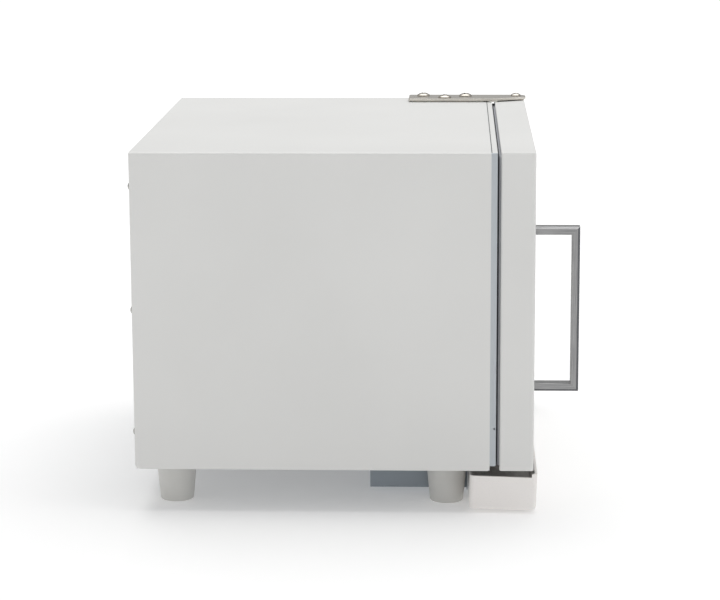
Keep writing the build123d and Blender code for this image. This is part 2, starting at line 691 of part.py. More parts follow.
# ---------------------------------------------------------------- air filter
filter_length = 26.0
with BuildPart() as air_filter:
    rod((filter_x, panel_front + panel_sheet, filter_z), (0, -1, 0), filter_radius, filter_length)
    rod((filter_x, panel_front + panel_sheet - filter_length, filter_z), (0, -1, 0), 5.0, 12.0)
    with BuildSketch(facing_front(panel_front + panel_sheet)):
        with Locations((filter_x, filter_z)):
            with PolarLocations(filter_radius * 0.55, 8):
                SlotOverall(12, 4, rotation=0)
    extrude(amount=3.0, mode=Mode.SUBTRACT)
    fillet(air_filter.edges().filter_by(GeomType.CIRCLE).sort_by(Axis.Y)[0], 0.6)
save(air_filter, "air_filter")

# ---------------------------------------------------------------- condenser
fin_count = 12
fin_pitch = 4.2
fin_sheet = 0.8
fin_half = 34.0
condenser_front = panel_front - 26.0 - 6.0 - fin_count * fin_pitch
with BuildPart() as condenser_coil:
    for number in range(fin_count):
        place = condenser_front + number * fin_pitch
        block((fan_x - fin_half, place, fan_z - fin_half),
              (fan_x + fin_half, place + fin_sheet, fan_z + fin_half))
    for dx in (-22, 0, 22):
        for dz in (-20, 20):
            rod((fan_x + dx, condenser_front - 5, fan_z + dz), (0, 1, 0), 4.0, fin_count * fin_pitch + 4.0)
    block((fan_x - fin_half, condenser_front - 4, fan_z - fin_half - 8),
          (fan_x + fin_half, condenser_front + fin_count * fin_pitch, fan_z - fin_half))
save(condenser_coil, "condenser_coil")

# ---------------------------------------------------------------- fan
fan_depth = 25.0
fan_front = panel_front - fan_depth
fan_bore = fan_size / 2 - 2.0
fan_hub = 14.0
with BuildPart() as fan_housing:
    with BuildSketch(facing_front(fan_front)):
        with Locations((fan_x, fan_z)):
            RectangleRounded(fan_size, fan_size, 4.0)
            Circle(fan_bore, mode=Mode.SUBTRACT)
    extrude(amount=-fan_depth)
    with BuildSketch(facing_front(fan_front)):
        with Locations((fan_x, fan_z)):
            Rectangle(2 * fan_bore + 1.0, 5.0)
            Rectangle(5.0, 2 * fan_bore + 1.0)
            Circle(fan_hub)
    extrude(amount=-3.0)
    rod((fan_x, fan_front + 2.5, fan_z), (0, 1, 0), 2.0, 14.0)
save(fan_housing, "fan_housing")

with BuildPart() as fan_rotor:
    rod((fan_x, fan_front + 4.0, fan_z), (0, 1, 0), fan_hub, 17.0)
    rod((fan_x, fan_front + 3.0, fan_z), (0, 1, 0), 2.0 + running_gap, 14.5, mode=Mode.SUBTRACT)
    for number in range(7):
        turn = 2 * pi * number / 7
        root = Plane(origin=(fan_x, fan_front + 12.5, fan_z), x_dir=(-sin(turn), 0, cos(turn)),
                     z_dir=(cos(turn), 0, sin(turn)))
        with BuildSketch(root.offset(fan_hub - 1.5)):
            Rectangle(20, 1.6, rotation=40)
        extrude(amount=fan_bore - fan_hub + 0.5)
save(fan_rotor, "fan_rotor")

# ---------------------------------------------------------------- electronics
supply_front = y_wrap + 60.0
supply_height = 44.0
with BuildPart() as power_supply:
    block((half - 78, supply_front, z_low + frame_sheet),
          (half - 8, supply_front + 130, z_low + frame_sheet + supply_height))
    with BuildSketch(level(half - 43, supply_front + 65, z_low + frame_sheet + supply_height)):
        with GridLocations(0, 9, 1, 11):
            SlotOverall(50, 4)
    extrude(amount=-2.0, mode=Mode.SUBTRACT)
save(power_supply, "power_supply")

board_thickness = 1.6
board_x = half - sheet - 8.0
board_front = y_wrap + 40.0
board_length = 170.0
with BuildPart() as controller_board:
    block((board_x - board_thickness, board_front, z_axis + 20),
          (board_x, board_front + board_length, z_axis + 130))
    for dy in (10, board_length - 10):
        for dz in (30, 120):
            rod((board_x - 0.5, board_front + dy, z_axis + dz), (1, 0, 0), 3.0,
                half - sheet - board_x + 0.5 - fit_gap)
    for number in range(4):
        block((board_x - 18, board_front + 18 + number * 26, z_axis + 30),
              (board_x - 1, board_front + 36 + number * 26, z_axis + 56))
    rod((board_x - 1, board_front + 140, z_axis + 50), (-1, 0, 0), 10.0, 26.0)
    block((board_x - 8, board_front + 40, z_axis + 76), (board_x - 1, board_front + 80, z_axis + 104))
save(controller_board, "controller_board")

inlet_body_depth = 24.0
switch_body_depth = 20.0
inlet_plate = 1.2           # its plate, behind the rear face
inlet_margin_x = 4.0
inlet_margin_z = 3.0
plate_half_z = inlet_height / 2 + inlet_margin_z
with BuildPart() as power_inlet:
    for x, width, height, depth in ((inlet_x, inlet_width, inlet_height, inlet_body_depth),
                                    (switch_x, switch_width, switch_height, switch_body_depth)):
        block((x - width / 2 + fit_gap, y_rear - sheet - depth, inlet_z - height / 2 + fit_gap),
              (x + width / 2 - fit_gap, y_rear - sheet, inlet_z + height / 2 - fit_gap))
    block((inlet_x - inlet_width / 2 - inlet_margin_x, y_rear - sheet, inlet_z - plate_half_z),
          (switch_x + switch_width / 2 + inlet_margin_x, y_rear + inlet_plate, inlet_z + plate_half_z))
    fillet(power_inlet.edges().filter_by(Axis.Y).filter_by(lambda edge: edge.length < 3), 2.0)
    with BuildSketch(facing_front(y_rear + inlet_plate)):
        with Locations((inlet_x, inlet_z)):
            Rectangle(24.0, 16.5)
            with Locations((0, 0.5)):
                Rectangle(18.0, 10.0, mode=Mode.SUBTRACT)
    extrude(amount=-17.0, mode=Mode.SUBTRACT)
    block((switch_x - switch_width / 2 + 1.5, y_rear - 10, inlet_z - switch_height / 2 + 1.5),
          (switch_x + switch_width / 2 - 1.5, y_rear + 2, inlet_z + switch_height / 2 - 1.5),
          mode=Mode.SUBTRACT)
    for dx, dz in ((-7, -2), (0, 2), (7, -2)):
        block((inlet_x + dx - 1, y_rear - 18, inlet_z + dz - 2),
              (inlet_x + dx + 1, y_rear - 3, inlet_z + dz + 2))
save(power_inlet, "power_inlet")

rocker_tilt = 8.0           # off side pressed in
rocker_pivot_y = y_rear - 4.0
rocker_half_width = switch_width / 2 - 1.5 - loose_gap
rocker_half_height = switch_height / 2 - 1.5 - 0.8
with BuildPart() as power_rocker:
    rest = radians(rocker_tilt)
    profile = [(5.2, 0.0), (4.4, rocker_half_height), (-1.0, rocker_half_height), (-3.6, 0.0),
               (-1.0, -rocker_half_height), (4.4, -rocker_half_height)]
    turned = [(rocker_pivot_y + a * cos(rest) - b * sin(rest), inlet_z + a * sin(rest) + b * cos(rest))
              for a, b in profile]
    with BuildSketch(Plane.YZ.offset(switch_x - rocker_half_width)):
        with BuildLine():
            Polyline(*turned, close=True)
        make_face()
    extrude(amount=2 * rocker_half_width)
save(power_rocker, "power_rocker")

# ---------------------------------------------------------------- pipes
pipe_radius = 3.0


def pipe(*points):
    """A bent tube through a list of corners, in the part being built."""
    with BuildLine() as route:
        FilletPolyline(*points, radius=10)
    start = route.wire() @ 0
    ahead = route.wire() % 0
    with BuildSketch(Plane(origin=start, z_dir=ahead)) as section:
        Circle(pipe_radius)
    sweep(section.sketch, path=route.wire())


pipe_level = z_low + frame_sheet + 12.0
cross_y = saddle_y + saddle_depth + 12.0
with BuildPart() as steam_pipes:
    pipe((pump_x, valve_front - 0.3, pipe_level),
         (pump_x, valve_front - 24, pipe_level),
         (pump_x, valve_front - 24, z_axis - 40),
         (tank_left + 30, valve_front - 40, z_axis - 20),
         (tank_left + 30, valve_front - 40, tank_low - 0.3))
    pipe((pump_x + 14.3, valve_front + 2.5 * valve_pitch, pipe_level),
         (-saddle_half - 20, valve_front + 2.5 * valve_pitch, pipe_level),
         (-saddle_half - 20, cross_y, pipe_level),
         (fan_x - 60, cross_y, pipe_level),
         (fan_x - 60, condenser_front - 16, fan_z - 20),
         (fan_x - 22, condenser_front - 16, fan_z - 20),
         (fan_x - 22, condenser_front - 5.3, fan_z - 20))
save(steam_pipes, "steam_pipes")

# ================================================================ under the cabinet
# ---------------------------------------------------------------- feet
foot_edge = 1.0
foot_recess_radius = 7.0
foot_recess_depth = 26.0
for name, (x, y) in foot_places.items():
    with BuildPart() as foot:
        with BuildSketch(level(x, y, 0)):
            Circle(foot_bottom_radius)
        with BuildSketch(level(x, y, foot_height)):
            Circle(foot_top_radius)
        loft()
        fillet(foot.edges().filter_by(GeomType.CIRCLE).sort_by(Axis.Z)[0], foot_edge)
        rod((x, y, -1), (0, 0, 1), foot_recess_radius, foot_recess_depth + 1, mode=Mode.SUBTRACT)
        rod((x, y, 0), (0, 0, 1), foot_screw_radius + screw_gap, foot_height + 1, mode=Mode.SUBTRACT)
    save(foot, name)

foot_nut_height = 4.0
foot_screw_length = foot_height - foot_recess_depth + frame_sheet + foot_nut_height + 0.5
foot_screw_head = 5.0
with BuildPart() as foot_screws:
    for x, y in foot_places.values():
        screw((x, y, foot_recess_depth), (0, 0, 1), foot_screw_radius, foot_screw_length,
              foot_screw_head, 3.2)
        rod((x, y, z_low + frame_sheet), (0, 0, 1), foot_screw_radius + 2.0, foot_nut_height)
save(foot_screws, "foot_screws")

# ---------------------------------------------------------------- drain housing
# Sheet box under the floor. Its front slots guide the drip tray's two runners.
drain_drop = 38.0
runner_width = 30.0
runner_thickness = 2.5
runner_spread = 180.0
runner_reach = 72.0
runner_z = z_low - 20.0
drain_half = drain_width / 2
tab_width = 9.0
tab_drop = 3.0
with BuildPart() as drain_housing:
    block((-drain_half, drain_front, z_low - drain_drop), (drain_half, drain_front + drain_length, z_low))
    block((-drain_half + sheet, drain_front + sheet, z_low - drain_drop + sheet),
          (drain_half - sheet, drain_front + drain_length - sheet, z_low + 1), mode=Mode.SUBTRACT)
    for side in (-1, 1):
        middle = side * runner_spread / 2
        block((middle - runner_width / 2 - loose_gap, drain_front - 1, runner_z - loose_gap),
              (middle + runner_width / 2 + loose_gap, drain_front + sheet + 1,
               runner_z + runner_thickness + loose_gap), mode=Mode.SUBTRACT)
        block((middle - runner_width / 2 - 6, drain_front + sheet, runner_z - loose_gap - 3),
              (middle + runner_width / 2 + 6, drain_front + 30, runner_z - loose_gap))
        block((middle - runner_width / 2 - 6, drain_front + 4, z_low - drain_drop + sheet),
              (middle + runner_width / 2 + 6, drain_front + 8, runner_z - loose_gap - 3))
    block((-drain_half + 2, drain_front, z_low - drain_drop - tab_drop),
          (-drain_half + 2 + tab_width, drain_front + sheet, z_low - drain_drop))
save(drain_housing, "drain_housing")

# ---------------------------------------------------------------- drip tray
# Moulded tub under the door, leaning forward a little, with two level runners behind it.
tray_left = -half + 1.5
tray_right = pivot_x - 42.0
tray_front_y = y_door - 3.0
tray_back_y = drain_front - 0.5
tub_wall = 2.6
tub_tilt = 1.8              # degrees
tub_side_height = 34.6
tub_front_height = 38.2
tub_radius = 5.0
tub_floor_radius = 4.0
tub_back_z = z_low - 39.8
tilt = radians(tub_tilt)
tub_depth = (tray_back_y - tray_front_y - tub_side_height * sin(tilt)) / cos(tilt) + 1.0
tub_plane = Plane(origin=((tray_left + tray_right) / 2, tray_back_y, tub_back_z),
                  x_dir=(1, 0, 0), z_dir=(0, -sin(tilt), cos(tilt)))
with BuildPart() as drip_tray:
    tub_width = tray_right - tray_left
    with BuildSketch(tub_plane):
        with Locations((0, -tub_depth / 2)):
            RectangleRounded(tub_width, tub_depth, tub_radius)
    extrude(amount=tub_front_height)
    bottom = drip_tray.faces().sort_by(Axis.Z)[0]
    fillet(bottom.edges(), tub_floor_radius)
    with BuildSketch(tub_plane.offset(tub_wall)):
        with Locations((0, -tub_depth / 2)):
            RectangleRounded(tub_width - 2 * tub_wall, tub_depth - 2 * tub_wall, tub_radius - tub_wall)
    extrude(amount=tub_front_height, mode=Mode.SUBTRACT)
    with BuildSketch(tub_plane.offset(tub_side_height)):
        with Locations((0, -tub_depth / 2 + tub_wall + 3.0)):
            Rectangle(tub_width + 2, tub_depth)
    extrude(amount=tub_front_height, mode=Mode.SUBTRACT)
    for side in (-1, 1):
        middle = side * runner_spread / 2
        block((middle - runner_width / 2, tray_back_y - 2.0, runner_z),
              (middle + runner_width / 2, tray_back_y + runner_reach, runner_z + runner_thickness))
save(drip_tray, "drip_tray")

# ================================================================ hinge
# ---------------------------------------------------------------- hinge plates
plate_taper_start = 2.0     # behind the door's back
plate_taper_width = 25.0    # width left at the pivot end
plate_nose = 11.0           # ahead of the pivot
plate_right = half - hinge_edge_inset
plate_left = plate_right - hinge_width


def hinge_plate(z, back, places):
    """A tapered strap from z upwards, with the pivot hole and its screw holes."""
    front = pivot_y - plate_nose
    taper_y = y_door_back + plate_taper_start
    with BuildSketch(level(0, 0, z)) as outline:
        with BuildLine():
            Polyline((plate_left, y_wrap + back), (plate_left, taper_y),
                     (plate_right - plate_taper_width, front), (plate_right, front),
                     (plate_right, y_wrap + back), close=True)
        make_face()
        corners = outline.vertices()
        nose = corners.group_by(Axis.Y)[0].sort_by(Axis.X)
        fillet(nose[1], 9.5)
        nose = outline.vertices().group_by(Axis.Y)[0].sort_by(Axis.X)
        fillet(nose[0], 6.0)
        fillet(outline.vertices().group_by(Axis.Y)[-1], 3.0)
        with Locations((pivot_x, pivot_y)):
            Circle(pivot_radius + fit_gap, mode=Mode.SUBTRACT)
        for place in places:
            with Locations(place):
                Circle(hinge_screw_radius + screw_gap, mode=Mode.SUBTRACT)
    extrude(outline.sketch, amount=hinge_sheet)


pivot_radius = 4.0
pivot_length = 16.0         # shoulder, into the door
pivot_head_radius = 5.8
plate_top_z = z_high + hinge_raise
plate_bottom_z = z_low - hinge_raise - hinge_sheet

with BuildPart() as hinge_plate_top:
    hinge_plate(plate_top_z, hinge_back_top, hinge_screws_top)
    fillet(hinge_plate_top.faces().sort_by(Axis.Z)[-1].outer_wire().edges(), 0.5)
save(hinge_plate_top, "hinge_plate_top")

with BuildPart() as hinge_plate_bottom:
    hinge_plate(plate_bottom_z, hinge_back_bottom, hinge_screws_bottom)
save(hinge_plate_bottom, "hinge_plate_bottom")

# ---------------------------------------------------------------- hinge shims
# Spacing plates between each strap and the cabinet, with a small disc beside the door's gap.
shim_inset = 3.0
disc_radius = 5.5
disc_height = 0.9
with BuildPart() as hinge_shims:
    shim_front = y_wrap + 3.0
    block((plate_left + shim_inset, shim_front, z_high),
          (plate_right - shim_inset, y_wrap + hinge_back_top - shim_inset, plate_top_z))
    block((plate_left + shim_inset, shim_front, z_low - hinge_raise),
          (plate_right - shim_inset, y_wrap + hinge_back_bottom - shim_inset, z_low))
    rod((plate_left + 3.5, y_frame - 1.0, plate_top_z), (0, 0, -1), disc_radius, disc_height)
    for x, y in hinge_screws_top:
        rod((x, y, z_high - 1), (0, 0, 1), hinge_screw_radius + screw_gap, hinge_raise + 2,
            mode=Mode.SUBTRACT)
    for x, y in hinge_screws_bottom:
        rod((x, y, z_low + 1), (0, 0, -1), hinge_screw_radius + screw_gap, hinge_raise + 2,
            mode=Mode.SUBTRACT)
save(hinge_shims, "hinge_shims")

# ---------------------------------------------------------------- hinge and pivot screws
with BuildPart() as hinge_screws:
    for x, y in hinge_screws_top:
        screw((x, y, plate_top_z + hinge_sheet), (0, 0, -1), hinge_screw_radius, hinge_screw_length,
              hinge_head_radius, hinge_head_height)
    for x, y in hinge_screws_bottom:
        screw((x, y, plate_bottom_z), (0, 0, 1), hinge_screw_radius, hinge_screw_length,
              hinge_head_radius, hinge_head_height)
save(hinge_screws, "hinge_screws")

with BuildPart() as pivot_screws:
    screw((pivot_x, pivot_y, plate_top_z + hinge_sheet), (0, 0, -1), pivot_radius,
          pivot_length + hinge_raise + hinge_sheet, pivot_head_radius, 3.2)
    screw((pivot_x, pivot_y, plate_bottom_z), (0, 0, 1), pivot_radius,
          pivot_length + hinge_raise + hinge_sheet, pivot_head_radius, 3.2)
save(pivot_screws, "pivot_screws")

# ---------------------------------------------------------------- hinge bushes
bush_radius = 6.0
bush_length = 18.0
washer_height = 0.8
with BuildPart() as hinge_bushes:
    for base, axis in ((z_high, (0, 0, -1)), (z_low, (0, 0, 1))):
        up = -axis[2]
        rod((pivot_x, pivot_y, base + up * washer_height), axis, bush_radius, bush_length + washer_height)
        rod((pivot_x, pivot_y, base + up * washer_height), axis, bush_radius + 1.5, washer_height)
        rod((pivot_x, pivot_y, base + up * 5), axis, pivot_radius + running_gap, bush_length + 10,
            mode=Mode.SUBTRACT)
save(hinge_bushes, "hinge_bushes")

# ================================================================ door
door_fold = 10.0            # return of the shell round the back of the door
inner_half = half - sheet
y_inner = y_door + sheet
y_liner = y_door_back - 2 * sheet

# ---------------------------------------------------------------- control panel's places
panel_x = 66.0
panel_z = z_high - 60.0
panel_width = 196.0
panel_height = 62.0
panel_stand = 2.0           # bezel, ahead of the door's face
panel_lap = 4.0             # bezel over the edge of the door's cut-out
window_width = 92.0
window_height = 36.0
window_x = panel_x - 42.0
key_size = 18.0
key_pitch = 26.0
key_first_x = panel_x + 26.0
key_gap = 0.4
key_travel = 1.0
key_names = ("key_program", "key_start", "key_stop")

# ---------------------------------------------------------------- handle's places
handle_x = -half + 30.0
handle_length = 165.7
handle_bar = 8.0            # front to back
handle_width = 14.0
handle_screw_radius = 2.5
handle_chamfer = 2.2        # outside edges of the bar, all round its bends
handle_arm_z = handle_length / 2 - handle_bar / 2

# ---------------------------------------------------------------- door shell
# White folded pan, open at the back, with a return fold round its edge.
with BuildPart() as door_shell:
    block((-half, y_door, z_low), (half, y_door_back, z_high))
    fillet(door_shell.edges().filter_by(Axis.Z), bend_radius)
    fillet(door_shell.faces().sort_by(Axis.Y)[0].edges(), 1.0)
    block((-inner_half, y_inner, z_low + sheet), (inner_half, y_door_back - sheet, z_high - sheet),
          mode=Mode.SUBTRACT)
    block((-half + door_fold, y_inner, z_low + door_fold),
          (half - door_fold, y_door_back + 1, z_high - door_fold), mode=Mode.SUBTRACT)
    with BuildSketch(facing_front(y_door)):
        with Locations((panel_x, panel_z)):
            Rectangle(panel_width - 2 * panel_lap, panel_height - 2 * panel_lap)
        with Locations((handle_x, z_axis + handle_arm_z), (handle_x, z_axis - handle_arm_z)):
            Circle(handle_screw_radius + screw_gap)
    extrude(amount=-sheet, mode=Mode.SUBTRACT)
    rod((pivot_x, pivot_y, z_low - 1), (0, 0, 1), bush_radius, body_height + 2, mode=Mode.SUBTRACT)
save(door_shell, "door_shell")

# ---------------------------------------------------------------- door liner
boss_outer = 28.0           # pressure plate's stub, through the liner
boss_hole = boss_outer + 2.0
with BuildPart() as door_liner:
    block((-inner_half + fit_gap, y_liner, z_low + sheet + fit_gap),
          (inner_half - fit_gap, y_liner + sheet, z_high - sheet - fit_gap))
    rod((0, y_liner - 1, z_axis), (0, 1, 0), boss_hole, sheet + 2, mode=Mode.SUBTRACT)
    rod((pivot_x, pivot_y, z_low), (0, 0, 1), bush_radius + 3.0, body_height, mode=Mode.SUBTRACT)
save(door_liner, "door_liner")

# ---------------------------------------------------------------- door beam
beam_height = 60.0
beam_depth = 14.0
beam_rib = 10.0             # left round the beam's two hollows
beam_web = 3.0              # and behind them
beam_left = handle_x - 14.0
beam_right = pivot_x - bush_radius - 8.0
y_beam = y_liner - fit_gap - beam_depth
with BuildPart() as door_beam:
    block((beam_left, y_beam, z_axis - beam_height / 2),
          (beam_right, y_beam + beam_depth, z_axis + beam_height / 2))
    for start, stop in ((beam_left + beam_rib, -boss_outer - beam_rib),
                        (boss_outer + beam_rib, beam_right - beam_rib)):
        block((start, y_beam - 1, z_axis - beam_height / 2 + beam_rib),
              (stop, y_beam + beam_depth - beam_web, z_axis + beam_height / 2 - beam_rib),
              mode=Mode.SUBTRACT)
save(door_beam, "door_beam")

# ---------------------------------------------------------------- door insulation
pad_margin = 16.0
pad_handle_clear = 34.0     # more on the left, past the handle's screws
with BuildPart() as door_insulation:
    block((-half + pad_margin + pad_handle_clear, y_inner + 2, z_low + pad_margin),
          (pivot_x - bush_radius - 10, y_beam - 0.5, z_high - pad_margin))
    block((panel_x - panel_width / 2 - 2, y_inner, panel_z - panel_height / 2 - 2),
          (panel_x + panel_width / 2 + 2, y_beam, panel_z + panel_height / 2 + 2), mode=Mode.SUBTRACT)
save(door_insulation, "door_insulation")

# ---------------------------------------------------------------- pressure plate
# Carries the pull of the steam: its lugs pass the locking ring's lugs, then the ring turns in front of them.
plate_front = y_ring + 1.4
plate_dish = 4.0
with BuildPart() as pressure_plate:
    with BuildSketch(facing_front(plate_front)):
        with Locations((0, z_axis)):
            Circle(plate_radius)
    extrude(amount=-(y_plate_back - plate_front))
    lug_front = y_ring + ring_lug_width + 0.5
    with BuildSketch(facing_front(lug_front)):
        with Locations((0, z_axis)):
            lug_ring(plate_lug_radius, plate_radius - 1.0, plate_lug_angle, 0)
    extrude(amount=-plate_lug_width)
    with BuildSketch(facing_front(y_plate_back)):
        with Locations((0, z_axis)):
            Circle(chamber_radius - 12.0)
    extrude(amount=plate_dish, mode=Mode.SUBTRACT)
    rod((0, y_beam + beam_depth, z_axis), (0, 1, 0), boss_outer, plate_front - y_beam - beam_depth + 1.0)
save(pressure_plate, "pressure_plate")

# ---------------------------------------------------------------- door seal
seal_left = 4.0             # in from the door's edges
seal_width = 8.0
seal_stand = 2.9
with BuildPart() as door_seal:
    with BuildSketch(facing_front(y_door_back)):
        seal_right = pivot_x - 6.0
        seal_middle = (seal_right - half + seal_left) / 2
        with Locations((seal_middle, z_axis)):
            RectangleRounded(seal_right + half - seal_left, body_height - 2 * seal_left, 4.0)
            RectangleRounded(seal_right + half - seal_left - 2 * seal_width,
                             body_height - 2 * seal_left - 2 * seal_width, 2.0, mode=Mode.SUBTRACT)
    extrude(amount=-seal_stand)
save(door_seal, "door_seal")

# ---------------------------------------------------------------- handle and its screws
with BuildPart() as handle:
    block((handle_x - handle_width / 2, y_handle, z_axis - handle_length / 2),
          (handle_x + handle_width / 2, y_door, z_axis + handle_length / 2))
    sides = handle.faces().sort_by(Axis.X)
    outer_edges = (sides[0].edges() + sides[-1].edges()).sort_by(Axis.Y)[:-2]
    chamfer(outer_edges, handle_chamfer)
    block((handle_x - handle_width, y_handle + handle_bar, z_axis - handle_length / 2 + handle_bar),
          (handle_x + handle_width, y_door + 1, z_axis + handle_length / 2 - handle_bar), mode=Mode.SUBTRACT)
    for rise in (-handle_arm_z, handle_arm_z):
        rod((handle_x, y_door + 1, z_axis + rise), (0, -1, 0), handle_screw_radius + fit_gap, 16.0,
            mode=Mode.SUBTRACT)
save(handle, "handle")

with BuildPart() as handle_screws:
    for rise in (-handle_arm_z, handle_arm_z):
        screw((handle_x, y_inner, z_axis + rise), (0, -1, 0), handle_screw_radius, 14.0, 5.0, 3.2)
save(handle_screws, "handle_screws")

# ---------------------------------------------------------------- control bezel, window and keys
with BuildPart() as control_bezel:
    block((panel_x - panel_width / 2, y_door - panel_stand, panel_z - panel_height / 2),
          (panel_x + panel_width / 2, y_door, panel_z + panel_height / 2))
    fillet(control_bezel.edges().filter_by(Axis.Y), 6.0)
    fillet(control_bezel.faces().sort_by(Axis.Y)[0].edges(), 1.0)
    rim_half_x = panel_width / 2 - panel_lap - fit_gap
    rim_half_z = panel_height / 2 - panel_lap - fit_gap
    block((panel_x - rim_half_x, y_door, panel_z - rim_half_z),
          (panel_x + rim_half_x, y_door + 6, panel_z + rim_half_z))
    block((panel_x - rim_half_x + 2, y_door, panel_z - rim_half_z + 2),
          (panel_x + rim_half_x - 2, y_door + 7, panel_z + rim_half_z - 2), mode=Mode.SUBTRACT)
    with BuildSketch(facing_front(y_door - panel_stand)):
        with Locations((window_x, panel_z)):
            RectangleRounded(window_width + 2 * fit_gap, window_height + 2 * fit_gap, 2.0)
        for number in range(len(key_names)):
            with Locations((key_first_x + number * key_pitch, panel_z)):
                RectangleRounded(key_size + 2 * key_gap, key_size + 2 * key_gap, 3.0)
    extrude(amount=-panel_stand, mode=Mode.SUBTRACT)
save(control_bezel, "control_bezel")

window_thickness = 2.0
with BuildPart() as display_window:
    with BuildSketch(facing_front(y_door - panel_stand + 0.2)):
        with Locations((window_x, panel_z)):
            RectangleRounded(window_width, window_height, 2.0)
    extrude(amount=-window_thickness)
    block((window_x - window_width / 2 - 2, y_door + fit_gap, panel_z - window_height / 2 - 2),
          (window_x + window_width / 2 + 2, y_door + 1.4, panel_z + window_height / 2 + 2))
save(display_window, "display_window")

key_stand = 1.2
key_flange = 1.2
stem_length = 5.0
board_gap = 0.3
y_board = y_door + 0.3 + key_flange + stem_length + key_travel + board_gap
for number, name in enumerate(key_names):
    with BuildPart() as key:
        middle = key_first_x + number * key_pitch
        with BuildSketch(facing_front(y_door + 0.3)):
            with Locations((middle, panel_z)):
                RectangleRounded(key_size, key_size, 3.0)
        extrude(amount=panel_stand + key_stand + 0.3)
        fillet(key.faces().sort_by(Axis.Y)[0].edges(), 0.5)
        block((middle - key_size / 2 - 1.5, y_door + 0.3, panel_z - key_size / 2 - 1.5),
              (middle + key_size / 2 + 1.5, y_door + 0.3 + key_flange, panel_z + key_size / 2 + 1.5))
        rod((middle, y_door + 0.3 + key_flange, panel_z), (0, 1, 0), 3.0, stem_length)
    save(key, name)

with BuildPart() as display_board:
    block((panel_x - rim_half_x + 3, y_board, panel_z - rim_half_z + 3),
          (panel_x + rim_half_x - 3, y_board + board_thickness, panel_z + rim_half_z - 3))
    block((window_x - window_width / 2 + 4, y_door + 2.0, panel_z - window_height / 2 + 3),
          (window_x + window_width / 2 - 4, y_board, panel_z + window_height / 2 - 3))
save(display_board, "display_board")
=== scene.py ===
"""Benchtop autoclave: the looks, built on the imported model. Metres, +Z up, the door faces -Y."""

import math

import bmesh
import bpy
from mathutils import Matrix, Vector


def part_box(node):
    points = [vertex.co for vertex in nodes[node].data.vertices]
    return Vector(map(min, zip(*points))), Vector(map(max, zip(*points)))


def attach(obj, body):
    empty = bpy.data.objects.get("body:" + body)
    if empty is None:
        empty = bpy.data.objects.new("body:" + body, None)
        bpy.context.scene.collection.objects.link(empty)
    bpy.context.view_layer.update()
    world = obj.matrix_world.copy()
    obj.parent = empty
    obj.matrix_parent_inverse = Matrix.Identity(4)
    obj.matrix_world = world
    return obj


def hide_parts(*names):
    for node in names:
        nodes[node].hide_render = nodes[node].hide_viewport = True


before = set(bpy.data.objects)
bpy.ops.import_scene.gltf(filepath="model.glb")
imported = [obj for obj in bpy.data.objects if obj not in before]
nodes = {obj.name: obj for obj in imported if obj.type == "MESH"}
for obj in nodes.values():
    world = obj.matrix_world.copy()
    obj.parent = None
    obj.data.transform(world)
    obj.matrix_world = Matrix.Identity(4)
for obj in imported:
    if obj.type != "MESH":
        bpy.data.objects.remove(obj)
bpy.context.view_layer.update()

# ---------------------------------------------------------------- camera
# A long lens on a stand a little above the cabinet, square to its left side and set back past the door.
camera_data = bpy.data.cameras.new("side_camera")
camera = bpy.data.objects.new("side_camera", camera_data)
bpy.context.scene.collection.objects.link(camera)
camera_place = Vector((-2.5573, -0.0993, 0.6809))
camera_aim = Vector((-0.235, -0.0058, 0.2166))
camera_roll = math.radians(0.245)
camera_data.lens = 120.9
camera_data.sensor_width = 36.0
camera_data.clip_end = 30.0
camera.location = camera_place
look = (camera_aim - camera_place).to_track_quat("-Z", "Y").to_matrix()
camera.rotation_euler = (look @ Matrix.Rotation(-camera_roll, 3, "Z")).to_euler()
bpy.context.scene.camera = camera

# ---------------------------------------------------------------- studio
# A seamless pale sweep under large soft lights: one over the top, one from the camera's side, one in front.
def linear(code):
    """An sRGB hex colour as the linear values that the shaders take."""
    values = [int(code[i:i + 2], 16) / 255 for i in (0, 2, 4)]
    return tuple(v / 12.92 if v <= 0.04045 else ((v + 0.055) / 1.055) ** 2.4 for v in values) + (1.0,)


def add_node(tree, kind, settings=None, inputs=None):
    """Adds one node, sets its properties, and fills or links its inputs by name or place."""
    node = tree.nodes.new(kind)
    for name, value in (settings or {}).items():
        setattr(node, name, value)
    for name, value in (inputs or {}).items():
        socket = node.inputs[name]
        if isinstance(value, bpy.types.NodeSocket):
            tree.links.new(value, socket)
        else:
            socket.default_value = value
    return node


floor_half = 30.0
glow_start, glow_end = 0.5, 3.5         # metres from the middle of the floor
glow_near, glow_far = 0.22, 0.66        # the paper's own light at those two distances
world_strength = 0.46
lights_aim = Vector((0.0, 0.0, 0.2))
sweep_mesh = bpy.data.meshes.new("studio_floor")
sweep = bpy.data.objects.new("studio_floor", sweep_mesh)
sweep_mesh.from_pydata([(-floor_half, -floor_half, 0), (floor_half, -floor_half, 0),
                        (floor_half, floor_half, 0), (-floor_half, floor_half, 0)], [], [(0, 1, 2, 3)])
bpy.context.scene.collection.objects.link(sweep)
paper = bpy.data.materials.new("backlit_white_paper")
paper.use_nodes = True
paper_tree = paper.node_tree
paper_shader = paper_tree.nodes["Principled BSDF"]
paper_shader.inputs["Base Color"].default_value = linear("F2F2F2")
paper_shader.inputs["Roughness"].default_value = 0.9
paper_shader.inputs["Specular IOR Level"].default_value = 0.05
paper_shader.inputs["Emission Color"].default_value = linear("FFFFFF")
paper_place = add_node(paper_tree, "ShaderNodeTexCoord").outputs["Object"]
paper_reach = add_node(paper_tree, "ShaderNodeVectorMath", {"operation": "LENGTH"}, {0: paper_place})
paper_glow = add_node(paper_tree, "ShaderNodeMapRange", {"interpolation_type": "SMOOTHSTEP"},
                      {"Value": paper_reach.outputs["Value"], "From Min": glow_start, "From Max": glow_end,
                       "To Min": glow_near, "To Max": glow_far})
paper_tree.links.new(paper_glow.outputs["Result"], paper_shader.inputs["Emission Strength"])
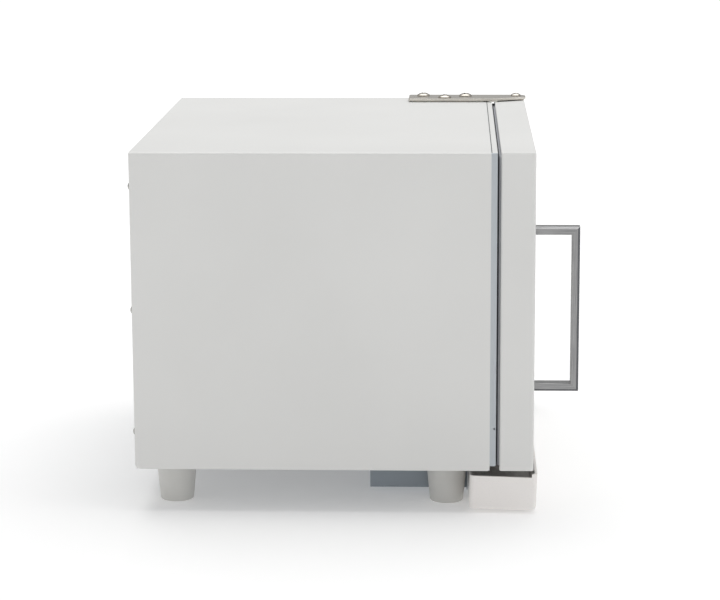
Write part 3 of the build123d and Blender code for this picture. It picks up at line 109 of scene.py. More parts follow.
sweep_mesh.materials.append(paper)

world = bpy.data.worlds.new("studio_white")
bpy.context.scene.world = world
world.use_nodes = True
world.node_tree.nodes["Background"].inputs["Color"].default_value = linear("FFFFFF")
world.node_tree.nodes["Background"].inputs["Strength"].default_value = world_strength

for light_name, place, width, height, power in (
        ("top_softbox", (0.5, 0.0, 2.6), 2.6, 2.6, 47),
        ("side_softbox", (-2.9, 0.8, 1.4), 2.0, 1.6, 2),
        ("front_softbox", (-0.9, -2.6, 1.2), 1.6, 1.4, 6)):
    light_data = bpy.data.lights.new(light_name, "AREA")
    light_data.shape = "RECTANGLE"
    light_data.size = width
    light_data.size_y = height
    light_data.energy = power
    light = bpy.data.objects.new(light_name, light_data)
    light.location = place
    light.rotation_euler = (lights_aim - Vector(place)).to_track_quat("-Z", "Y").to_euler()
    bpy.context.scene.collection.objects.link(light)
bpy.context.scene.view_settings.view_transform = "Standard"

# ---------------------------------------------------------------- cabinet wrap, door shell
# Mild steel sheet, 1.2 mm, folded and powder coated satin white. The coat flows into a very fine
# orange peel and rounds every cut edge.
mm = 0.001
noise_low, noise_high = 0.3, 0.7        # where most of a noise's values lie
weld_distance = 0.003 * mm
flat_angle = math.radians(0.3)          # faces that meet flatter than this become one
shade_angle = math.radians(40.0)        # edges sharper than this are shaded sharp


def new_material(name):
    """A material with an empty Principled shader, and its tree and object coordinates."""
    material = bpy.data.materials.new(name)
    material.use_nodes = True
    tree = material.node_tree
    place = add_node(tree, "ShaderNodeTexCoord").outputs["Object"]
    return material, tree, tree.nodes["Principled BSDF"], place


def ramp(tree, value, low, high, low_at=noise_low, high_at=noise_high):
    """A two-colour ramp over a value."""
    node = add_node(tree, "ShaderNodeValToRGB", inputs={"Fac": value})
    node.color_ramp.elements[0].position = low_at
    node.color_ramp.elements[0].color = low
    node.color_ramp.elements[1].position = high_at
    node.color_ramp.elements[1].color = high
    return node.outputs["Color"]


def spread(tree, value, low, high):
    """Maps the middle of a noise onto a range."""
    return add_node(tree, "ShaderNodeMapRange", inputs={"Value": value, "From Min": noise_low,
                    "From Max": noise_high, "To Min": low, "To Max": high}).outputs["Result"]


def emboss(tree, shader, height, strength, depth_mm):
    """Bumps a shader's surface by a height."""
    bump = add_node(tree, "ShaderNodeBump", inputs={"Height": height, "Strength": strength,
                    "Distance": depth_mm * mm})
    tree.links.new(bump.outputs["Normal"], shader.inputs["Normal"])


def powder_coat(name, light, dark, peel_mm, peel, roughness):
    """Powder-coated steel: a soft satin skin with fine orange peel and a faint cloud of tone."""
    glossy, dull = roughness - 0.04, roughness + 0.04
    peel_depth_mm = 0.02
    skin_weight, skin_roughness = 0.05, 0.25
    material, tree, shader, place = new_material(name)
    cloud = add_node(tree, "ShaderNodeTexNoise", inputs={"Vector": place, "Scale": 5.0, "Detail": 2.0})
    tree.links.new(ramp(tree, cloud.outputs["Fac"], linear(dark), linear(light)), shader.inputs["Base Color"])
    skin = add_node(tree, "ShaderNodeTexNoise",
                    inputs={"Vector": place, "Scale": 1.0 / (peel_mm * mm), "Detail": 2.0, "Roughness": 0.4})
    tree.links.new(spread(tree, skin.outputs["Fac"], glossy, dull), shader.inputs["Roughness"])
    emboss(tree, shader, skin.outputs["Fac"], peel, peel_depth_mm)
    shader.inputs["Coat Weight"].default_value = skin_weight
    shader.inputs["Coat Roughness"].default_value = skin_roughness
    return material


def rounded(form, edge_mm, corner=28.0):
    """Welds a mesh, joins its flat faces and rounds the edges sharper than a corner angle."""
    bmesh.ops.remove_doubles(form, verts=form.verts, dist=weld_distance)
    bmesh.ops.dissolve_limit(form, angle_limit=flat_angle, verts=form.verts, edges=form.edges)
    sharp = [edge for edge in form.edges
             if edge.is_manifold and edge.calc_face_angle(0.0) > math.radians(corner)]
    if edge_mm > 0:
        bmesh.ops.bevel(form, geom=sharp, offset=edge_mm * mm, segments=2, profile=0.5, affect="EDGES",
                        clamp_overlap=True)


def piece_from(form, name, *materials):
    """Turns a bmesh into a shown piece with area-weighted normals, so that flat faces stay flat."""
    mesh = bpy.data.meshes.new(name)
    form.to_mesh(mesh)
    form.free()
    mesh.shade_smooth()
    mesh.set_sharp_from_angle(angle=shade_angle)
    for material in materials:
        mesh.materials.append(material)
    piece = bpy.data.objects.new(name, mesh)
    bpy.context.scene.collection.objects.link(piece)
    even = piece.modifiers.new("even_normals", "WEIGHTED_NORMAL")
    even.keep_sharp = True
    even.weight = 100
    bpy.context.view_layer.update()
    seen = piece.evaluated_get(bpy.context.evaluated_depsgraph_get())
    final = bpy.data.meshes.new_from_object(seen)
    piece.modifiers.remove(even)
    piece.data = final
    final.name = name
    return piece


def stands_for(piece, node, body="cabinet"):
    """Shows a piece in place of a CAD node, on its body."""
    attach(piece, body)
    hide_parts(node)
    return piece


def dressed(node, material, body="cabinet", edge_mm=0.3):
    """A finished copy of a CAD node: welded, edges rounded, in its material."""
    source = nodes[node].data
    plain = bpy.data.meshes.new(node + "_plain")
    plain.from_pydata([vertex.co for vertex in source.vertices], [],
                      [list(face.vertices) for face in source.polygons])
    form = bmesh.new()
    form.from_mesh(plain)
    rounded(form, edge_mm)
    return stands_for(piece_from(form, node + "_finished", material), node, body)


white_coat = powder_coat("powder_coated_steel_white", "E7E7E5", "E2E2E0", 1.6, 0.5, 0.42)
dressed("outer_wrap", white_coat, edge_mm=0.4)
dressed("door_shell", white_coat, "door", edge_mm=0.25)

# ---------------------------------------------------------------- front frame, drain housing
# Pressed steel in a blue-grey powder coat: the frame stands 6 mm ahead of the wrap all round the door,
# and the housing is a folded box spot-welded under the floor, in a darker slate that is painted shade for
# the shade under the cabinet. The frame's top edge takes the wrap's white as a painted highlight, and a
# dark grey strip along the joint between the two is painted shade for the open seam.
def moulded(name, light, dark, grain_mm, grain, roughness, specular=0.5, see_through=0.0, under=0.0):
    """Moulded plastic or rubber: a spark-eroded grain from the tool, and a slow drift of tone."""
    glossy, dull = roughness - 0.05, roughness + 0.06
    grain_depth_mm = 0.06
    light_depth = 2.0 * mm
    material, tree, shader, place = new_material(name)
    drift = add_node(tree, "ShaderNodeTexNoise", inputs={"Vector": place, "Scale": 14.0, "Detail": 3.0})
    tree.links.new(ramp(tree, drift.outputs["Fac"], linear(dark), linear(light)), shader.inputs["Base Color"])
    spark = add_node(tree, "ShaderNodeTexNoise", inputs={"Vector": place, "Scale": 1.0 / (grain_mm * mm),
                     "Detail": 3.0, "Roughness": 0.6})
    tree.links.new(spread(tree, spark.outputs["Fac"], glossy, dull), shader.inputs["Roughness"])
    emboss(tree, shader, spark.outputs["Fac"], grain, grain_depth_mm)
    shader.inputs["Specular IOR Level"].default_value = specular
    shader.inputs["Transmission Weight"].default_value = see_through
    shader.inputs["Subsurface Weight"].default_value = under
    shader.inputs["Subsurface Scale"].default_value = light_depth
    return material


grey_coat = powder_coat("powder_coated_steel_blue_grey", "C1C6CA", "B9BFC4", 1.6, 0.5, 0.4)
frame_piece = dressed("front_frame", grey_coat, edge_mm=0.6)
# The dark grey strip along the seam between frame and wrap is painted shade for the open joint.
joint_painted_shade = moulded("joint_painted_shade_dark_grey", "4A4B4D", "3C3D3F", 1.0, 0.3, 0.5, 0.3)
frame_piece.data.materials.append(white_coat)
frame_piece.data.materials.append(joint_painted_shade)
frame_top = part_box("front_frame")[1].z
joint_shade_width = 0.8 * mm
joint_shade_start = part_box("outer_wrap")[0].y - joint_shade_width
top_skin = 1.0 * mm                     # a face this near the top still belongs to the top edge
facing_up = 0.9


def cut_and_paint(piece, y, paint):
    """Cuts a piece's faces along an upright plane, then gives each face the material slot paint picks."""
    form = bmesh.new()
    form.from_mesh(piece.data)
    bmesh.ops.bisect_plane(form, geom=[*form.verts, *form.edges, *form.faces],
                           plane_co=(0.0, y, 0.0), plane_no=(0.0, 1.0, 0.0))
    for face in form.faces:
        face.material_index = paint(face.calc_center_median(), face.normal)
    form.to_mesh(piece.data)
    form.free()


def frame_paint_and_painted_light(middle, normal):
    """White on the frame's top edge as a painted highlight, a dark strip along its back as painted shade, the
    grey coat elsewhere.
    """
    if normal.z < facing_up or middle.z < frame_top - top_skin:
        return 0
    return 2 if middle.y > joint_shade_start else 1


cut_and_paint(frame_piece, joint_shade_start, frame_paint_and_painted_light)
# The housing's darker slate is painted shade: the frame's blue-grey darkened for the shade under the cabinet.
housing_painted_shade_coat = powder_coat("powder_coated_steel_painted_shade_slate", "A2ABB3", "99A2AA", 1.6, 0.5, 0.4)
dressed("drain_housing", housing_painted_shade_coat)

# ---------------------------------------------------------------- base pan, rear panel, saddle, liner, beam
# Hot-dip galvanised sheet, cut and folded, left bare. Zinc freezes into spangles some 9 mm across,
# each with its own tone, under a thin dull bloom.
def galvanised(name, light, dark, spangle_mm, roughness):
    """Galvanised sheet: flat crystals of slightly different grey, their borders bent by a noise."""
    glossy, dull = roughness - 0.08, roughness + 0.08
    border_bend = 4.0 * mm
    bloom, bloom_depth_mm = 0.25, 0.05
    material, tree, shader, place = new_material(name)
    bend = add_node(tree, "ShaderNodeTexNoise", inputs={"Vector": place, "Scale": 90.0, "Detail": 2.0})
    shift = add_node(tree, "ShaderNodeVectorMath", {"operation": "SCALE"},
                     {0: bend.outputs["Color"], "Scale": border_bend})
    moved = add_node(tree, "ShaderNodeVectorMath", {"operation": "ADD"},
                     {0: place, 1: shift.outputs["Vector"]})
    cells = add_node(tree, "ShaderNodeTexVoronoi",
                     inputs={"Vector": moved.outputs["Vector"], "Scale": 1.0 / (spangle_mm * mm)})
    tone = add_node(tree, "ShaderNodeSeparateColor", inputs={"Color": cells.outputs["Color"]})
    tree.links.new(ramp(tree, tone.outputs["Red"], linear(dark), linear(light), 0.0, 1.0),
                   shader.inputs["Base Color"])
    rough = add_node(tree, "ShaderNodeMapRange", inputs={"Value": tone.outputs["Green"],
                     "To Min": glossy, "To Max": dull})
    tree.links.new(rough.outputs["Result"], shader.inputs["Roughness"])
    emboss(tree, shader, bend.outputs["Fac"], bloom, bloom_depth_mm)
    shader.inputs["Metallic"].default_value = 1.0
    return material


zinc_sheet = galvanised("galvanised_steel_sheet", "C9CBCC", "B4B7B9", 9.0, 0.42)
for node in ("base_pan", "rear_panel", "chamber_saddle"):
    dressed(node, zinc_sheet)
for node in ("door_liner", "door_beam"):
    dressed(node, zinc_sheet, "door")

# ---------------------------------------------------------------- handle
# Flat steel bar, 14 x 8 mm, mitred and welded into a D, ground along each leg and clear lacquered.
# Its outer edges are planed off at 45 degrees; the outer face and planed edges are painted darker below the
# top arm as painted shade; two screws hold it.
def grain_lines(tree, place, detail, along, across_mm, along_mm):
    """Fine parallel lines: a noise squeezed across the grain and drawn out along it."""
    scale = [1.0 / (across_mm * mm)] * 3
    scale[along] = 1.0 / (along_mm * mm)
    stretched = add_node(tree, "ShaderNodeMapping", inputs={"Vector": place, "Scale": scale})
    return add_node(tree, "ShaderNodeTexNoise", inputs={"Vector": stretched.outputs["Vector"], "Scale": 1.0,
                    "Detail": detail, "Roughness": 0.6}).outputs["Fac"]


def brushed_metal(name, light, dark, along, line_mm, length_mm, roughness, source="Object"):
    """Metal ground in one direction: streaks of tone and gloss that follow the grain."""
    glossy, dull = roughness - 0.05, roughness + 0.08
    groove, groove_depth_mm = 0.35, 0.03
    material, tree, shader, place = new_material(name)
    if source == "UV":
        place = add_node(tree, "ShaderNodeTexCoord").outputs["UV"]
    lines = grain_lines(tree, place, 3.0, along, line_mm, length_mm)
    tree.links.new(ramp(tree, lines, linear(dark), linear(light)), shader.inputs["Base Color"])
    tree.links.new(spread(tree, lines, dull, glossy), shader.inputs["Roughness"])
    emboss(tree, shader, lines, groove, groove_depth_mm)
    shader.inputs["Metallic"].default_value = 1.0
    return material


# The steel's grain is drawn 0.5 mm wide, several times too coarse, so that it shows at this size.
handle_steel = brushed_metal("ground_steel_lacquered", "A4A4A4", "868687", 0, 0.5, 28.0, 0.3, "UV")
# The darker copy is painted shade for the dark reflections on the handle's outer face and planed edges.
handle_painted_shade_steel = brushed_metal("painted_shade_steel_dark", "66676A", "4C4D50", 0, 0.4, 40.0, 0.2, "UV")
handle_low, handle_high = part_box("handle")
handle_bar = 8.0 * mm
handle_planed = 2.2 * mm
handle_edge = 0.35 * mm
handle_half = (handle_high.x - handle_low.x) / 2
handle_x = (handle_high.x + handle_low.x) / 2
handle_section = [                      # across the bar, and in from its outer face
    (-handle_half + handle_planed, 0.0), (handle_half - handle_planed, 0.0), (handle_half, handle_planed),
    (handle_half, handle_bar - handle_edge), (handle_half - handle_edge, handle_bar),
    (-handle_half + handle_edge, handle_bar), (-handle_half, handle_bar - handle_edge),
    (-handle_half, handle_planed)]
painted_shade_sides = (0, 1, 7)                # the outer face and the planed strip on each side of it
leg_offset = 0.31                       # sets each leg's grain apart from the others'
side_run = 4.1 * mm                     # how far the grain moves on from one side to the next
weld_width = 0.25 * mm
weld_depth = 0.12 * mm


def handle_ring(form, corner, along, from_corner, sunk):
    """One ring of the bar: at a corner of the D, moved along a leg, its skin sunk by a little."""
    ring = []
    for across, inward in handle_section:
        across = across * (1 - sunk / handle_half)
        inward = sunk + inward * (1 - 2 * sunk / handle_bar)
        top = corner.z > (handle_low.z + handle_high.z) / 2
        y = handle_low.y + inward
        z = handle_high.z - inward if top else handle_low.z + inward
        if along == "arm":
            y = handle_high.y if from_corner is None else y + from_corner
        else:
            z = z - from_corner if top else z + from_corner
        ring.append(form.verts.new((handle_x + across, y, z)))
    return ring


handle_form = bmesh.new()
high_corner = Vector((handle_x, handle_low.y, handle_high.z))
low_corner = Vector((handle_x, handle_low.y, handle_low.z))
handle_rings = [
    handle_ring(handle_form, high_corner, "arm", None, 0.0),
    handle_ring(handle_form, high_corner, "arm", weld_width, 0.0),
    handle_ring(handle_form, high_corner, "arm", 0.0, weld_depth),
    handle_ring(handle_form, high_corner, "bar", weld_width, 0.0),
    handle_ring(handle_form, low_corner, "bar", weld_width, 0.0),
    handle_ring(handle_form, low_corner, "bar", 0.0, weld_depth),
    handle_ring(handle_form, low_corner, "arm", weld_width, 0.0),
    handle_ring(handle_form, low_corner, "arm", None, 0.0)]
bar_uv = handle_form.loops.layers.uv.new("along_the_bar")
upright_leg = 3
top_arm = 1
for number, (here, ahead) in enumerate(zip(handle_rings, handle_rings[1:])):
    leg_shift = leg_offset * (number // 2)
    for side in range(len(here)):
        beyond = (side + 1) % len(here)
        skin = handle_form.faces.new((here[side], here[beyond], ahead[beyond], ahead[side]))
        # Below the top arm, the outer face and planed strips take the darker copy as painted shade.
        skin.material_index = 1 if side in painted_shade_sides and number > top_arm else 0
        for loop, turn in zip(skin.loops, (side, side + 1, side + 1, side)):
            run = loop.vert.co.z if number == upright_leg else loop.vert.co.y
            loop[bar_uv].uv = (run + leg_shift, turn * side_run)
handle_form.faces.new(list(reversed(handle_rings[0])))
handle_form.faces.new(handle_rings[-1])
bmesh.ops.recalc_face_normals(handle_form, faces=handle_form.faces)
stands_for(piece_from(handle_form, "handle_finished", handle_steel, handle_painted_shade_steel), "handle",
           "door")

# ---------------------------------------------------------------- hinge straps
# Two 2.4 mm steel straps, punched, tumbled and satin nickel plated, screwed over a shim to the cabinet.
# Nickel has a warm grey tone, and the long grain of the strip shows through it.
satin_nickel = brushed_metal("satin_nickel_plate", "DAD6CE", "C1BDB5", 1, 0.6, 18.0, 0.3)
for node in ("hinge_plate_top", "hinge_plate_bottom"):
    dressed(node, satin_nickel)

# ---------------------------------------------------------------- hinge bushes and shims
# Turned brass bushes are pressed into the door and carry the pivots. White moulded acetal shims lie under
# the straps and keep them level.
def turned_metal(name, light, dark, line_mm, roughness, axis=1, middle=(0.0, 0.0, 0.0)):
    """Metal cut on a lathe: fine rings round an axis, as seen on its ends and along its sides."""
    glossy, dull = roughness - 0.05, roughness + 0.07
    groove, groove_depth_mm = 0.4, 0.03
    material, tree, shader, place = new_material(name)
    centred = add_node(tree, "ShaderNodeVectorMath", {"operation": "SUBTRACT"}, {0: place, 1: middle})
    flat = [1.0, 1.0, 1.0]
    flat[axis] = 0.0
    radial = add_node(tree, "ShaderNodeVectorMath", {"operation": "MULTIPLY"},
                      {0: centred.outputs["Vector"], 1: flat})
    radius = add_node(tree, "ShaderNodeVectorMath", {"operation": "LENGTH"}, {0: radial.outputs["Vector"]})
    split = add_node(tree, "ShaderNodeSeparateXYZ", inputs={"Vector": centred.outputs["Vector"]})
    rings = add_node(tree, "ShaderNodeCombineXYZ", inputs={"X": radius.outputs["Value"],
                     "Y": split.outputs[axis], "Z": 0.0})
    cut = add_node(tree, "ShaderNodeTexNoise", inputs={"Vector": rings.outputs["Vector"],
                   "Scale": 1.0 / (line_mm * mm), "Detail": 3.0, "Roughness": 0.65}).outputs["Fac"]
    tree.links.new(ramp(tree, cut, linear(dark), linear(light)), shader.inputs["Base Color"])
    tree.links.new(spread(tree, cut, dull, glossy), shader.inputs["Roughness"])
    emboss(tree, shader, cut, groove, groove_depth_mm)
    shader.inputs["Metallic"].default_value = 1.0
    return material


bush_brass = turned_metal("turned_brass", "D9B36A", "B58F4A", 0.4, 0.28, axis=2,
                          middle=tuple(sum(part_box("hinge_bushes"), Vector()) / 2))
dressed("hinge_bushes", bush_brass, "door", edge_mm=0.2)
white_acetal = moulded("moulded_acetal_white", "E6E4DC", "DAD8D0", 0.8, 0.3, 0.4, under=0.1)
dressed("hinge_shims", white_acetal, edge_mm=0.15)

# ---------------------------------------------------------------- screws
# Cold-headed steel screws with a low dome and a pressed cross recess, zinc plated: bright on the crown,
# dull grey in the recess. The two pivots are shoulder screws of the same make, nickel plated.
dome_share = 0.72                       # of the head's height; the rest is a straight rim
shank_tuck = 0.12                       # of the head's height, how far the shank reaches into the head
recess_middle = 1.08                    # of the head's height, the middle of the recess's cutters
recess_reach = 1.15                     # of the head's radius, the length of the cross
recess_width = 0.24                     # of the head's radius
screw_edge_mm = 0.12
screw_corner = 30.0


def solids(node):
    """The lowest and highest corner of each separate solid in a CAD node."""
    form = bmesh.new()
    form.from_mesh(nodes[node].data)
    bmesh.ops.remove_doubles(form, verts=form.verts, dist=weld_distance)
    left = set(form.verts)
    found = []
    while left:
        queue = [left.pop()]
        island = []
        while queue:
            vertex = queue.pop()
            island.append(vertex.co.copy())
            for edge in vertex.link_edges:
                other = edge.other_vert(vertex)
                if other in left:
                    left.remove(other)
                    queue.append(other)
        found.append((Vector([min(p[i] for p in island) for i in range(3)]),
                      Vector([max(p[i] for p in island) for i in range(3)])))
    form.free()
    return sorted(found, key=lambda corners: tuple(corners[0]))


def screw_tree():
    """Geometry Nodes: one dome-head screw on every point, its head along the point's axis."""
    tree = bpy.data.node_groups.new("dome_head_screws", "GeometryNodeTree")
    tree.interface.new_socket("Geometry", in_out="INPUT", socket_type="NodeSocketGeometry")
    for name, value in (("Head Radius", 0.005), ("Head Height", 0.003), ("Shank Radius", 0.002),
                        ("Shank Length", 0.01), ("Recess Width", 0.001)):
        socket = tree.interface.new_socket(name, in_out="INPUT", socket_type="NodeSocketFloat")
        socket.default_value = value
    tree.interface.new_socket("Turn Seed", in_out="INPUT", socket_type="NodeSocketInt")
    tree.interface.new_socket("Finish", in_out="INPUT", socket_type="NodeSocketMaterial")
    tree.interface.new_socket("Geometry", in_out="OUTPUT", socket_type="NodeSocketGeometry")
    given = add_node(tree, "NodeGroupInput").outputs

    def sum_of(operation, first, second):
        return add_node(tree, "ShaderNodeMath", {"operation": operation}, {0: first, 1: second}).outputs[0]

    def moved(part, height):
        offset = add_node(tree, "ShaderNodeCombineXYZ", inputs={"Z": height}).outputs["Vector"]
        return add_node(tree, "GeometryNodeTransform",
                        inputs={"Geometry": part, "Translation": offset}).outputs["Geometry"]

    blank = add_node(tree, "GeometryNodeMeshCylinder", inputs={"Vertices": 48,
                     "Radius": given["Head Radius"], "Depth": given["Head Height"]}).outputs["Mesh"]
    blank = moved(blank, sum_of("MULTIPLY", given["Head Height"], 0.5))
    rise = sum_of("MULTIPLY", given["Head Height"], dome_share)
    square = sum_of("MULTIPLY", given["Head Radius"], given["Head Radius"])
    reach = sum_of("ADD", square, sum_of("MULTIPLY", rise, rise))
    crown_radius = sum_of("DIVIDE", reach, sum_of("MULTIPLY", rise, 2.0))
    ball = add_node(tree, "GeometryNodeMeshUVSphere",
                    inputs={"Segments": 96, "Rings": 64, "Radius": crown_radius}).outputs["Mesh"]
    ball = moved(ball, sum_of("SUBTRACT", given["Head Height"], crown_radius))
    head = add_node(tree, "GeometryNodeMeshBoolean", {"operation": "INTERSECT", "solver": "EXACT"})
    tree.links.new(blank, head.inputs["Mesh 2"])
    tree.links.new(ball, head.inputs["Mesh 2"])
    arm = sum_of("MULTIPLY", given["Head Radius"], recess_reach)
    deep = given["Head Height"]
    recess = []
    for wide, long in ((given["Recess Width"], arm), (arm, given["Recess Width"])):
        size = add_node(tree, "ShaderNodeCombineXYZ", inputs={"X": wide, "Y": long, "Z": deep})
        cutter = add_node(tree, "GeometryNodeMeshCube", inputs={"Size": size.outputs["Vector"]})
        recess.append(moved(cutter.outputs["Mesh"], sum_of("MULTIPLY", given["Head Height"], recess_middle)))
    cut = add_node(tree, "GeometryNodeMeshBoolean", {"operation": "DIFFERENCE", "solver": "EXACT"})
    tree.links.new(head.outputs["Mesh"], cut.inputs["Mesh 1"])
    for cutter in recess:
        tree.links.new(cutter, cut.inputs["Mesh 2"])
    shank = add_node(tree, "GeometryNodeMeshCylinder", inputs={"Vertices": 32,
                     "Radius": given["Shank Radius"], "Depth": given["Shank Length"]}).outputs["Mesh"]
    tuck = sum_of("MULTIPLY", given["Head Height"], shank_tuck)
    shank = moved(shank, sum_of("SUBTRACT", tuck, sum_of("MULTIPLY", given["Shank Length"], 0.5)))
    whole = add_node(tree, "GeometryNodeMeshBoolean", {"operation": "UNION", "solver": "EXACT"})
    tree.links.new(cut.outputs["Mesh"], whole.inputs["Mesh 2"])
    tree.links.new(shank, whole.inputs["Mesh 2"])
    axis = add_node(tree, "GeometryNodeInputNamedAttribute", {"data_type": "FLOAT_VECTOR"}, {"Name": "axis"})
    stand = add_node(tree, "FunctionNodeAlignRotationToVector", {"axis": "Z"},
                     {"Vector": axis.outputs["Attribute"]})
    twist = add_node(tree, "FunctionNodeRandomValue", {"data_type": "FLOAT"},
                     {"Min": 0.0, "Max": math.pi / 2, "Seed": given["Turn Seed"]})
    spin = add_node(tree, "ShaderNodeCombineXYZ", inputs={"Z": [o for o in twist.outputs if o.enabled][0]})
    spin_turn = add_node(tree, "FunctionNodeEulerToRotation", inputs={"Euler": spin.outputs["Vector"]})
    turned = add_node(tree, "FunctionNodeRotateRotation", {"rotation_space": "LOCAL"},
                      {"Rotation": stand.outputs["Rotation"], "Rotate By": spin_turn.outputs["Rotation"]})
    points = add_node(tree, "GeometryNodeMeshToPoints", inputs={"Mesh": given["Geometry"]})
    placed = add_node(tree, "GeometryNodeInstanceOnPoints",
                      inputs={"Points": points.outputs["Points"], "Instance": whole.outputs["Mesh"],
                              "Rotation": turned.outputs["Rotation"]})
    real = add_node(tree, "GeometryNodeRealizeInstances", inputs={"Geometry": placed.outputs["Instances"]})
    finish = add_node(tree, "GeometryNodeSetMaterial",
                      inputs={"Geometry": real.outputs["Geometry"], "Material": given["Finish"]})
    add_node(tree, "NodeGroupOutput", inputs={"Geometry": finish.outputs["Geometry"]})
    return tree


def screws(node, material, axes, head_height_mm, shank_radius_mm, body="cabinet", seed=3):
    """Screws in place of a CAD node's, one for each of its solids, from the screw tree."""
    places = []
    for low, high in solids(node):
        axis = Vector(axes(low, high))
        along = max(range(3), key=lambda i: abs(axis[i]))
        seat = (low + high) / 2
        tip = high[along] if axis[along] > 0 else low[along]
        seat[along] = tip - axis[along] * head_height_mm * mm
        side = (along + 1) % 3
        places.append((seat, axis, high[along] - low[along] - head_height_mm * mm,
                       (high[side] - low[side]) / 2))
    seats = bpy.data.meshes.new(node + "_seats")
    seats.from_pydata([seat for seat, _, _, _ in places], [], [])
    attribute = seats.attributes.new("axis", "FLOAT_VECTOR", "POINT")
    for number, (_, axis, _, _) in enumerate(places):
        attribute.data[number].vector = axis
    group = bpy.data.objects.new(node + "_seats", seats)
    bpy.context.scene.collection.objects.link(group)
    modifier = group.modifiers.new("screws", "NODES")
    modifier.node_group = screw_group
    head_radius = places[0][3]
    given = {"Head Radius": head_radius, "Head Height": head_height_mm * mm,
             "Shank Radius": shank_radius_mm * mm, "Shank Length": places[0][2],
             "Recess Width": head_radius * recess_width, "Turn Seed": seed, "Finish": material}
    for item in screw_group.interface.items_tree:
        if item.in_out == "INPUT" and item.name in given:
            modifier[item.identifier] = given[item.name]
    bpy.context.view_layer.update()
    seen = group.evaluated_get(bpy.context.evaluated_depsgraph_get())
    made = bpy.data.meshes.new_from_object(seen)
    bpy.data.objects.remove(group)
    form = bmesh.new()
    form.from_mesh(made)
    rounded(form, screw_edge_mm, screw_corner)
    return stands_for(piece_from(form, node + "_finished", material), node, body)


screw_group = screw_tree()
zinc_plate = turned_metal("zinc_plated_steel", "B9B8B4", "97958F", 0.5, 0.3)
nickel_head = turned_metal("nickel_plated_steel", "C6C1B8", "A5A099", 0.5, 0.24, axis=2)
cabinet_middle = sum(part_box("outer_wrap"), Vector()) / 2


def up_or_down(low, high):
    """Heads above the cabinet face up, heads below it face down."""
    return (0, 0, 1) if (low.z + high.z) / 2 > cabinet_middle.z else (0, 0, -1)


screws("rear_screws", zinc_plate, lambda low, high: (0, 1, 0), 2.2, 2.0)
screws("hinge_screws", nickel_head, up_or_down, 3.6, 2.5)
screws("pivot_screws", nickel_head, up_or_down, 3.2, 4.0)
screws("handle_screws", zinc_plate, lambda low, high: (0, 1, 0), 3.2, 2.5, "door")
dressed("foot_screws", zinc_plate, edge_mm=screw_edge_mm)

# ---------------------------------------------------------------- feet
# Four conical feet moulded in light grey polypropylene, with a rounded sole, a sink-free hollow for the
# fixing screw from below, and a fine spark-eroded skin.
def turned_form(profile, centre, steps=96):
    """A closed turned body about an upright line: profile points are radius and height."""
    form = bmesh.new()
    rings = []
    for radius, height in profile:
        rings.append([form.verts.new((centre.x + radius * math.cos(2 * math.pi * step / steps),
                                      centre.y + radius * math.sin(2 * math.pi * step / steps), height))
                      for step in range(steps)])
    for here, ahead in zip(rings, rings[1:] + rings[:1]):
        for step in range(steps):
            beyond = (step + 1) % steps
            form.faces.new((here[step], here[beyond], ahead[beyond], ahead[step]))
    bmesh.ops.recalc_face_normals(form, faces=form.faces)
    return form


def quarter(radius, height, size, start, turns=6):
    """Points round a quarter circle, for a profile's rounded corner."""
    angles = [math.radians(start + 90.0 * step / turns) for step in range(turns + 1)]
    return [(radius + size * math.cos(angle), height + size * math.sin(angle)) for angle in angles]


foot_grey = moulded("moulded_polypropylene_grey", "DDDCD8", "D5D4D0", 1.2, 0.35, 0.42)
foot_sole = 2.0 * mm
foot_hollow = 7.0 * mm
foot_hollow_depth = 26.0 * mm
foot_bore = 2.7 * mm
foot_taper = 4.0 * mm
foot_chamfer = 0.8 * mm                 # round the mouth of the hollow
for node in ("foot_front_left", "foot_front_right", "foot_rear_left", "foot_rear_right"):
    low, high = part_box(node)
    centre = (low + high) / 2
    top_radius = (high.x - low.x) / 2
    sole_radius = top_radius - foot_taper
    profile = ([(foot_hollow, foot_hollow_depth), (foot_hollow, foot_chamfer),
                (foot_hollow + foot_chamfer, 0.0)]
               + quarter(sole_radius - foot_sole, foot_sole, foot_sole, -90)
               + [(top_radius, high.z), (foot_bore, high.z), (foot_bore, foot_hollow_depth)])
    stands_for(piece_from(turned_form(profile, centre), node + "_finished", foot_grey), node)

# ---------------------------------------------------------------- drip tray
# Injection-moulded ABS tub in warm white on two flat runners. The tool is polished, so the skin is smoother
# than the painted steel beside it and has only a faint grain.
tray_white = moulded("moulded_abs_warm_white", "F9F6F3", "F5F1EE", 1.6, 0.04, 0.3)
dressed("drip_tray", tray_white, "drip_tray", edge_mm=0.4)

# ---------------------------------------------------------------- door seal and chamber gasket
# The door's lip seal is extruded in grey rubber; its strip towards the frame is painted black as painted
# shade for the dark gap. The chamber's gasket is moulded in red-brown silicone with a clean satin skin.
seal_rubber = moulded("extruded_epdm_rubber", "B0B1B5", "A3A4A8", 1.0, 0.4, 0.62, 0.3)
# The black strip along the seal's frame side is painted shade for the gap between door and frame.
gap_painted_shade = moulded("gap_painted_shade_black", "424347", "36373A", 1.0, 0.4, 0.6, 0.3)
red_silicone = moulded("moulded_silicone_red", "B4573C", "A44C33", 1.0, 0.2, 0.45, 0.4, under=0.15)
seal_piece = dressed("door_seal", seal_rubber, "door", edge_mm=0.6)
seal_piece.data.materials.append(gap_painted_shade)
gap_shade_width = 1.2 * mm
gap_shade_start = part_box("door_seal")[1].y - gap_shade_width
cut_and_paint(seal_piece, gap_shade_start, lambda middle, normal: 1 if middle.y > gap_shade_start else 0)
dressed("chamber_gasket", red_silicone, edge_mm=0.0)

